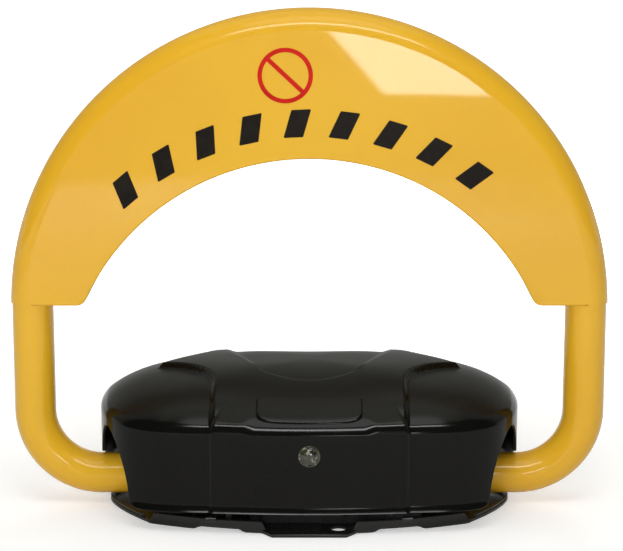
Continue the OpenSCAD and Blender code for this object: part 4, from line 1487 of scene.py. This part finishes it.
@dataclass
class GroundPlate:
    """The pressed base plate with its tabs, anchor holes and turned-up lips."""

    thick: float = 2.5
    bow: float = 90.5
    bow_k: float = 0.00178
    end_x: float = 120.0
    half_x: float = 158.0
    end_power: float = 1.5
    tab_y: float = 98.0
    tab_half: float = 29.0
    tab_root: float = 36.0
    tab_corner: Flat = (1.5, 1.2)
    edge_steps: int = 43
    end_steps: int = 25
    plate_in: float = 0.6
    notch_deep: float = 7.0
    notch_ease: float = 6.0
    lip_h: float = 9.5
    lip_end: float = 118.0
    lip_slope: float = 5.0
    lip_round: float = 0.6
    lip_under: tuple[Flat, ...] = ((0.0, 2.2), (0.35, 0.8), (1.4, 0.0))
    lip_steps: int = 60
    relief_x: float = 68.0
    relief_half: float = 20.0
    relief_h: float = 3.2
    relief_ease: float = 7.0
    relief_keep: float = 0.15
    relief_top: float = 4.0
    lug_x: float = 74.0
    lug_half: float = 4.0
    lug_at: Flat = (83.0, 9.7)
    lug_r: float = 2.3
    lug_in: float = 1.0
    lug_turn: Flat = (-60.0, 200.0)
    lug_steps: tuple[int, int] = (14, 10)
    end_lip_h: float = 5.0
    end_lip_y: float = 54.0
    end_under: tuple[Flat, ...] = ((2.4, 0.5), (3.0, 0.0), (4.2, 0.0))
    end_lip_steps: int = 61
    anchor_r: float = 85.0
    anchor_d: float = 12.0
    anchor_turn: float = 15.0
    anchor_steps: int = 40
    edge_round: float = 0.5
    plate_crease: float = 30.0
    crease: float = 40.0

    def edge_y(self, x: float) -> float:
        """Half depth of the plate's bowed edge at x."""
        return self.bow - self.bow_k * x * x

    def edge_x(self, y: float) -> float:
        """Half width of the plate's rounded end at y."""
        share = (abs(y) / self.edge_y(self.end_x)) ** self.end_power
        return self.end_x + (self.half_x - self.end_x) * (1 - share)

    def relieved(self, x: float, ease: float) -> float:
        """1 under the relief in a lip and 0 beside it, with a soft change at its ends."""
        return float(step01(np.array((self.relief_half - abs(x - self.relief_x)) / ease)))

    def outline(self) -> list[Flat]:
        """The plate's plan with its two tabs and the notches under the lips.

        Returns:
            Points in X and Y.
        """
        end_y = self.edge_y(self.end_x)
        cut_x, cut_y = self.tab_corner
        quarter = [(0.0, -self.tab_y), (self.tab_half - cut_x, -self.tab_y)]
        quarter.append((self.tab_half, -self.tab_y + cut_y))
        for x in np.linspace(self.tab_root, self.end_x, self.edge_steps).tolist():
            notch = self.notch_deep * self.relieved(x, self.notch_ease)
            quarter.append((x, -self.edge_y(x) + self.plate_in + notch))
        round_end = np.linspace(end_y, 0, self.end_steps)[1:].tolist()
        quarter += [(self.edge_x(y), -y) for y in round_end]
        right = quarter + [(x, -y) for x, y in reversed(quarter[:-1])]
        return right + mirrored(right[1:-1])

    def plate(self) -> None:
        """Fill the plan with its anchor holes and give it its thickness and eased edges."""
        data = bpy.data.curves.new("ground_plate", "CURVE")
        data.dimensions, data.fill_mode = "2D", "BOTH"
        data.extrude = (self.thick / 2 - self.edge_round) * MM
        data.bevel_depth, data.bevel_resolution = self.edge_round * MM, 2
        data.offset = -self.edge_round * MM
        loops, steps = [self.outline()], self.anchor_steps
        for k in range(4):
            a = math.radians(self.anchor_turn - 90 + 90 * k)
            centre = (self.anchor_r * math.cos(a), self.anchor_r * math.sin(a))
            loops.append(arc(centre, self.anchor_d / 2, 360, 360 / steps, steps - 1))
        for loop in loops:
            spline = data.splines.new("POLY")
            spline.points.add(len(loop) - 1)
            spline.use_cyclic_u = True
            for point, (x, y) in zip(spline.points, loop):
                point.co = (x * MM, y * MM, 0.0, 1.0)
        holder = linked("ground_plate_plan", data)
        mesh = final_mesh(holder)
        bpy.data.objects.remove(holder)
        piece = linked("ground_plate", mesh)
        mesh.transform(Matrix.Translation((0.0, 0.0, self.thick / 2 * MM)))
        tidy(piece, self.plate_crease)
        settle(piece, Body.BASE, PLATE_PAINT, ["base_plate"])

    def folded(self, name: str, rings: Sequence[Sequence[Point]]) -> None:
        """Close rings of points into a painted piece of the plate."""
        settle(stacked(name, rings, self.crease), Body.BASE, PLATE_PAINT)

    def lip(self, name: str, side: int, face: int) -> None:
        """Fold one lip up along the plate's bowed edge, with sloped ends and a relief below.

        Args:
            name: The piece's name.
            side: The sign of X that it lies at.
            face: The sign of Y that it lies at.
        """
        h, t, r = self.lip_h, self.thick, self.lip_round
        under = [*self.lip_under, (t, 0.0)]
        rings = []
        for s in np.linspace(0, 1, self.lip_steps):
            ring = []
            for inset, z in [*under, (t, h - r), (t - r, h), (r, h), (0.0, h - r)]:
                slope = self.lip_slope * (1 - z / h)
                x = (self.tab_root - slope) + s * (self.lip_end - self.tab_root + 2 * slope)
                lift = self.relief_h * self.relieved(x, self.relief_ease)
                level = max(z, lift + self.relief_keep * z) if z < self.relief_top else z
                ring.append((side * x, face * (self.edge_y(x) - inset), level))
            rings.append(ring)
        self.folded(name, rings)

    def end_lip(self, name: str, side: int) -> None:
        """Fold the plate's rounded end up a little.

        Args:
            name: The piece's name.
            side: The sign of X that it lies at.
        """
        h, t, r = self.end_lip_h, self.thick, self.lip_round
        under = [*self.end_under, (t, h - 0.7)]
        profile = [*under, (t - r, h), (r, h), (0.1, h - 0.3), (0.0, h - 0.8)]
        places = np.linspace(-self.end_lip_y, self.end_lip_y, self.end_lip_steps).tolist()
        rings = [[(side * (self.edge_x(y) - inset), y, z) for inset, z in profile] for y in places]
        self.folded(name, rings)

    def lug(self, name: str, side: int, face: int) -> None:
        """Curl a small lug over the lip, where the hood comes to rest.

        Args:
            name: The piece's name.
            side: The sign of X that it lies at.
            face: The sign of Y that it lies at.
        """
        low, high = self.lug_turn
        outside, inside = self.lug_steps
        shape = arc(self.lug_at, self.lug_r, low, high, outside)
        shape += arc(self.lug_at, self.lug_in, high, low, inside)
        ends = (side * self.lug_x - self.lug_half, side * self.lug_x + self.lug_half)
        self.folded(name, [[(x, face * y, z) for y, z in shape] for x in ends])

    def build(self) -> None:
        """Make the plate, its lips and their lugs."""
        self.plate()
        for side, word in ((-1, "left"), (1, "right")):
            self.end_lip(f"plate_end_{word}", side)
            for face, end in ((-1, "front"), (1, "rear")):
                self.lip(f"plate_lip_{end}_{word}", side, face)
                self.lug(f"plate_lug_{end}_{word}", side, face)


@dataclass
class Cables:
    """The two leads that run between housings inside the base."""

    radius: float = 1.6
    steps: int = 10
    sides: int = 14
    sleeve: float = 0.5
    motor: tuple[Point, ...] = (
        (-22, 67.6, 58), (-22, 71.5, 57.5), (-19, 73, 42), (-4, 66, 14),
        (10, 70, 9), (29, 70, 9), (38, 66, 11), (44.4, 66, 11),
    )
    battery: tuple[Point, ...] = (
        (84.6, -50, 34), (91, -50, 34), (93, -38, 42), (88, -10, 50),
        (84, 14, 44), (76, 28, 20), (74, 31, 15), (74, 36.4, 15),
    )

    def build(self) -> None:
        """Sweep both leads with a sleeve at each end."""
        material = RUBBER.material()
        for name, points in (("motor", self.motor), ("battery", self.battery)):
            path = curved(points, self.steps)
            section = (self.radius, material, self.sides, False, self.sleeve)
            lead = sweep(f"{name}_lead", path, *section)
            settle(lead, Body.BASE, None, [f"{name}_cable"])


@dataclass
class Bolts:
    """Hexagon bolts on washers, set by Geometry Nodes at their places."""

    head_r: float = 5.8
    head_h: float = 4.0
    washer_r: float = 6.4
    washer_h: float = 0.9
    crown_top: float = 0.62
    crown_foot: float = 0.84
    crown_h: float = 0.14
    turn: float = 0.7
    crease: float = 30.0
    feet: tuple[Point, ...] = (
        (-112, -29, 6.5), (-112, 29, 6.5), (112, -29, 6.5), (112, 29, 6.5),
    )
    bridge_feet: tuple[Point, ...] = ((-31, -23, 5.5), (-31, 23, 5.5))

    def row(self, name: str, places: Sequence[Point], node: str) -> None:
        """Set one group of bolts.

        Args:
            name: The piece's name.
            places: Where each washer lies, in millimetres.
            node: The CAD node that the group stands for.
        """
        tree = PieceTree(name)
        head = tree.length("Head radius", self.head_r)
        high = tree.length("Head height", self.head_h)
        wide = tree.length("Washer radius", self.washer_r)
        thin = tree.length("Washer height", self.washer_h)
        hexagon = {"Vertices": 6, "Radius": head, "Depth": high}
        crown = {
            "Vertices": 32,
            "Radius Top": head * self.crown_top,
            "Radius Bottom": head * self.crown_foot,
            "Depth": high * self.crown_h,
        }
        washer = {"Vertices": 40, "Radius": wide, "Depth": thin}
        parts = []
        for kind, sizes, height in (
            ("Cylinder", hexagon, thin + high * 0.5),
            ("Cone", crown, thin + high),
            ("Cylinder", washer, thin * 0.5),
        ):
            shape = tree.node(f"GeometryNodeMesh{kind}", sizes)
            lifted = {"Geometry": shape, "Translation": tree.vector(0.0, 0.0, height)}
            parts.append(tree.node("GeometryNodeTransform", lifted))
        bolt = tree.node("GeometryNodeJoinGeometry", {"Geometry": parts})
        turn = tree.vector(0.0, 0.0, tree.node("GeometryNodeInputIndex") * self.turn)
        spots = {"Points": tree.given(), "Instance": bolt, "Rotation": turn}
        carrier = blank(name)
        carrier.data.from_pydata(metres(places), [], [])
        placed = tree.node("GeometryNodeInstanceOnPoints", spots)
        bolts = tree.run(carrier, placed, ZINC.material())
        bolts.data.set_sharp_from_angle(angle=math.radians(self.crease))
        settle(bolts, Body.BASE, None, [node])

    def build(self) -> None:
        """Set the bracket bolts and the bridge bolts."""
        self.row("foot_bolts", self.feet, "bracket_bolts")
        self.row("bridge_foot_bolts", self.bridge_feet, "bridge_bolts")


@dataclass
class Works:
    """Pieces inside the base and on the shaft, kept in their CAD shapes with eased edges."""

    nodes: dict[str, bpy.types.Object]
    ease: float = 0.35
    ease_from: float = 40.0
    crease: float = 32.0
    weld: float = 2e-6
    flat: float = 0.6

    def piece(self, node: str, body: Body, slot: Slot, finish: Finish) -> None:
        """Dress a welded, eased copy of a CAD node.

        Args:
            node: The CAD node.
            body: The body that it moves with.
            slot: The record's slot; not used.
            finish: Its finish.
        """
        copy = blank(f"{node}_fine")
        shape = bmesh.new()
        shape.from_mesh(self.nodes[node].data)
        bmesh.ops.remove_doubles(shape, verts=shape.verts, dist=self.weld)
        bmesh.ops.dissolve_limit(
            shape, angle_limit=math.radians(self.flat), verts=shape.verts, edges=shape.edges
        )
        shape.to_mesh(copy.data)
        shape.free()
        bevel = copy.modifiers.new("ease", "BEVEL")
        bevel.width, bevel.segments = self.ease * MM, 2
        bevel.limit_method, bevel.angle_limit = "ANGLE", math.radians(self.ease_from)
        shade(plain(copy), self.crease)
        settle(copy, body, finish, [node])

    def build(self) -> None:
        """Dress every inner piece."""
        base, loop, cover, lock = Body.BASE, Body.LOOP, Body.COVER, Body.LOCK
        mouldings = "motor_cap battery_tray board_lid board_parts antenna buzzer hall_sensors"
        for names, body, slot, finish in (
            ("brackets bridge gearbox_lid", base, Slot.STEEL, STEEL),
            ("motor_can strike_bracket hinge_pins small_screws", base, Slot.ZINC, ZINC),
            # Hinge brackets and sensor plate: black plate paint in place of their zinc and bare
            # metal, as painted shade for the gap under the hood.
            ("hinge_brackets sensor_plate", base, Slot.BLACK, PLATE_PAINT),
            ("bushes", base, Slot.BRONZE, BRONZE),
            ("gearbox_housing", base, Slot.CAST, CAST),
            (mouldings, base, Slot.BLACK_PLASTIC, BLACK_PLASTIC),
            ("board_case", base, Slot.GREY_PLASTIC, GREY_PLASTIC),
            ("control_board", base, Slot.BOARD, BOARD),
            ("battery_cells", base, Slot.CELL, CELL_WRAP),
            ("rear_buffers battery_strap", base, Slot.RUBBER, RUBBER),
            ("main_shaft sector_pin", loop, Slot.STEEL, STEEL),
            ("sector_gear shaft_collars position_magnet", loop, Slot.ZINC, ZINC),
            ("output_pinion", Body.PINION, Slot.ZINC, ZINC),
            ("lens_nut lock_barrel lock_nut", cover, Slot.ZINC, ZINC),
            # Hinge leaves: black plate paint, as painted shade for the gap under the hood's front
            # edge.
            ("hinge_leaves", cover, Slot.BLACK, PLATE_PAINT),
            ("status_led", cover, Slot.BOARD, BOARD),
            ("lock_plug", lock, Slot.BRASS, BRASS),
            ("lock_cam cam_screw", lock, Slot.ZINC, ZINC),
        ):
            for node in names.split():
                self.piece(node, body, slot, finish)


# Studio


@dataclass(frozen=True)
class SoftBox:
    """A soft box: its place and aim in metres, its size, its power and its edges' fall-off."""

    name: str
    at: Point
    aim: Point
    size: Flat
    watts: float
    fade: float = 0.15
    slant: float = 0.0
    mirrored: bool = True
    lights: bool = True
    tint: Colour = WHITE

    def hang(self) -> None:
        """Hang the box, with its left edge slanted if it says so."""
        light = bpy.data.lights.new(self.name, "AREA")
        light.shape, light.size, light.size_y = "RECTANGLE", *self.size
        light.energy = self.watts
        graph = fresh(light)
        spot = graph.node("ShaderNodeNewGeometry", out="Parametric")
        across, up = graph.axis(spot, "X"), graph.axis(spot, "Y")
        level = graph.between(across + self.slant * up, self.slant, self.slant + self.fade)
        for share in (1.0 - across, up, 1.0 - up):
            level = level * graph.between(share, 0.0, self.fade)
        glow = graph.node("ShaderNodeEmission", {"Color": self.tint, "Strength": level})
        graph.made("ShaderNodeOutputLight", {"Surface": glow})
        lamp = linked(self.name, light)
        lamp.location = self.at
        aim = Vector(self.aim) - Vector(self.at)
        lamp.rotation_euler = aim.to_track_quat("-Z", "Y").to_euler()
        lamp.visible_camera = False
        lamp.visible_glossy, lamp.visible_diffuse = self.mirrored, self.lights


@dataclass
class Studio:
    """A white floor, soft boxes and the camera of the photograph."""

    lens_mm: float = 109.5
    sensor_mm: float = 36.0
    camera_at: Point = (0.0, -1.452, 0.450)
    pitch: float = 10.5
    shift: float = 0.0035
    room: Colour = (0.26, 0.26, 0.26, 1.0)
    front_wall: tuple[Flat, ...] = ((0.0, 1.0), (0.015, 1.0), (0.05, 0.03), (1.0, 0.03))
    back_wall: tuple[Flat, ...] = ((0.0, 1.0), (0.14, 1.0), (0.22, 0.4), (0.57, 0.6), (1.0, 0.7))
    wall_tint: Colour = (1.0, 1.0, 0.8, 1.0)
    wall_turn: Flat = (-0.1, 0.2)
    floor_half: float = 14.0
    floor_z: float = -0.0002
    paper: Colour = (0.84, 0.84, 0.84, 1.0)
    paper_far: Flat = (0.25, 1.1)
    paper_seen: Flat = (0.15, 0.25)
    paper_direct: Flat = (0.25, 0.5)
    boxes: tuple[SoftBox, ...] = (
        SoftBox(
            "top_box", (0.0, 0.1, 1.75), (0.0, 0.1, 0.0), (1.8, 1.1), 7.0,
            tint=(1.0, 1.0, 0.85, 1.0),
        ),
        SoftBox("high_box", (0.05, -0.66, 1.7), (0.0, 0.0, 0.1), (1.1, 0.7), 8.5),
        SoftBox(
            "strip_box", (0.1, -1.25, 1.32), (0.0, 0.0, 0.08), (1.2, 0.26), 21.0, lights=False
        ),
        SoftBox(
            "fill_box", (-0.3, -1.9, 0.55), (0.0, 0.0, 0.1), (0.9, 0.7), 23.5, mirrored=False
        ),
        SoftBox("rear_box", (0.3, 1.9, 0.7), (0.0, 0.0, 0.15), (0.9, 0.9), 18.0, mirrored=False),
        SoftBox(
            "window_box", (0.148, -1.62, 0.258), (0.148, 0.0, 0.258), (0.32, 0.15), 2.1,
            fade=0.04, slant=0.4,
        ),
    )

    def seen(self, graph: Graph) -> Sock:
        """1 for rays from the camera and for those that gloss or glass sends on."""
        return graph.ray("Camera").most(graph.ray("Glossy")).most(graph.ray("Transmission"))

    def world(self) -> None:
        """White for the camera, a horizon under a dark ceiling in gloss, and an even light."""
        world = bpy.data.worlds.new("studio")
        bpy.context.scene.world = world
        graph = fresh(world)
        way = graph.node("ShaderNodeTexCoord", out="Generated")
        height, depth = graph.axis(way, "Z"), graph.axis(way, "Y")
        views = []
        for levels in (self.front_wall, self.back_wall):
            stops = [
                (at, tuple(level * c ** (1 - level) for c in self.wall_tint))
                for at, level in levels
            ]
            views.append(graph.node("ShaderNodeValToRGB", {0: height}, stops=stops))
        wall = graph.mix(graph.between(depth, *self.wall_turn), *views)
        mirrored_or_lit = graph.mix(self.seen(graph), self.room, wall)
        colour = graph.mix(graph.ray("Camera"), mirrored_or_lit, WHITE)
        backdrop = graph.node("ShaderNodeBackground", {"Color": colour, "Strength": 1.0})
        graph.made("ShaderNodeOutputWorld", {"Surface": backdrop})

    def floor(self) -> None:
        """A plain white floor that keeps the object's shadow."""
        floor = blank("floor")
        half, z = self.floor_half, self.floor_z
        plan = [(-half, -half, z), (half, -half, z), (half, half, z), (-half, half, z)]
        floor.data.from_pydata(plan, [], [(0, 1, 2, 3)])
        paper = bpy.data.materials.new("floor_paper")
        graph = fresh(paper)
        matt = graph.node("ShaderNodeBsdfDiffuse", {"Color": self.paper})
        length = {0: graph.coords()}
        away = graph.node("ShaderNodeVectorMath", length, "Value", operation="LENGTH")
        far = graph.between(away, *self.paper_far)
        level = self.seen(graph) * (self.paper_seen[0] + self.paper_seen[1] * far)
        direct = graph.ray("Camera") * (self.paper_direct[0] + self.paper_direct[1] * far)
        glow = graph.node("ShaderNodeEmission", {"Strength": level + direct})
        both = graph.node("ShaderNodeAddShader", {0: matt, 1: glow})
        graph.made("ShaderNodeOutputMaterial", {"Surface": both})
        floor.data.materials.append(paper)

    def camera(self) -> None:
        """Set the camera at the photograph's place and angle."""
        data = bpy.data.cameras.new("camera")
        data.lens, data.sensor_width, data.shift_x = self.lens_mm, self.sensor_mm, self.shift
        camera = linked("camera", data)
        camera.location = self.camera_at
        camera.rotation_euler = (math.radians(90 - self.pitch), 0.0, 0.0)
        bpy.context.scene.camera = camera

    def build(self) -> None:
        """Set up the whole studio."""
        bpy.context.scene.view_settings.view_transform = "Standard"
        self.camera()
        self.world()
        self.floor()
        for box in self.boxes:
            box.hang()


def main() -> None:
    """Build the studio and every sub-assembly round the frame."""
    logging.basicConfig(level=logging.INFO, format="%(name)s: %(message)s")
    for thing in list(bpy.data.objects):
        bpy.data.objects.remove(thing)
    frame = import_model()
    Studio().build()
    works = Works(frame["nodes"])
    for part in (Loop(), SignFilms(), Hood(), GroundPlate(), Cables(), Bolts(), works):
        part.build()


if __name__ == "__main__":
    main()
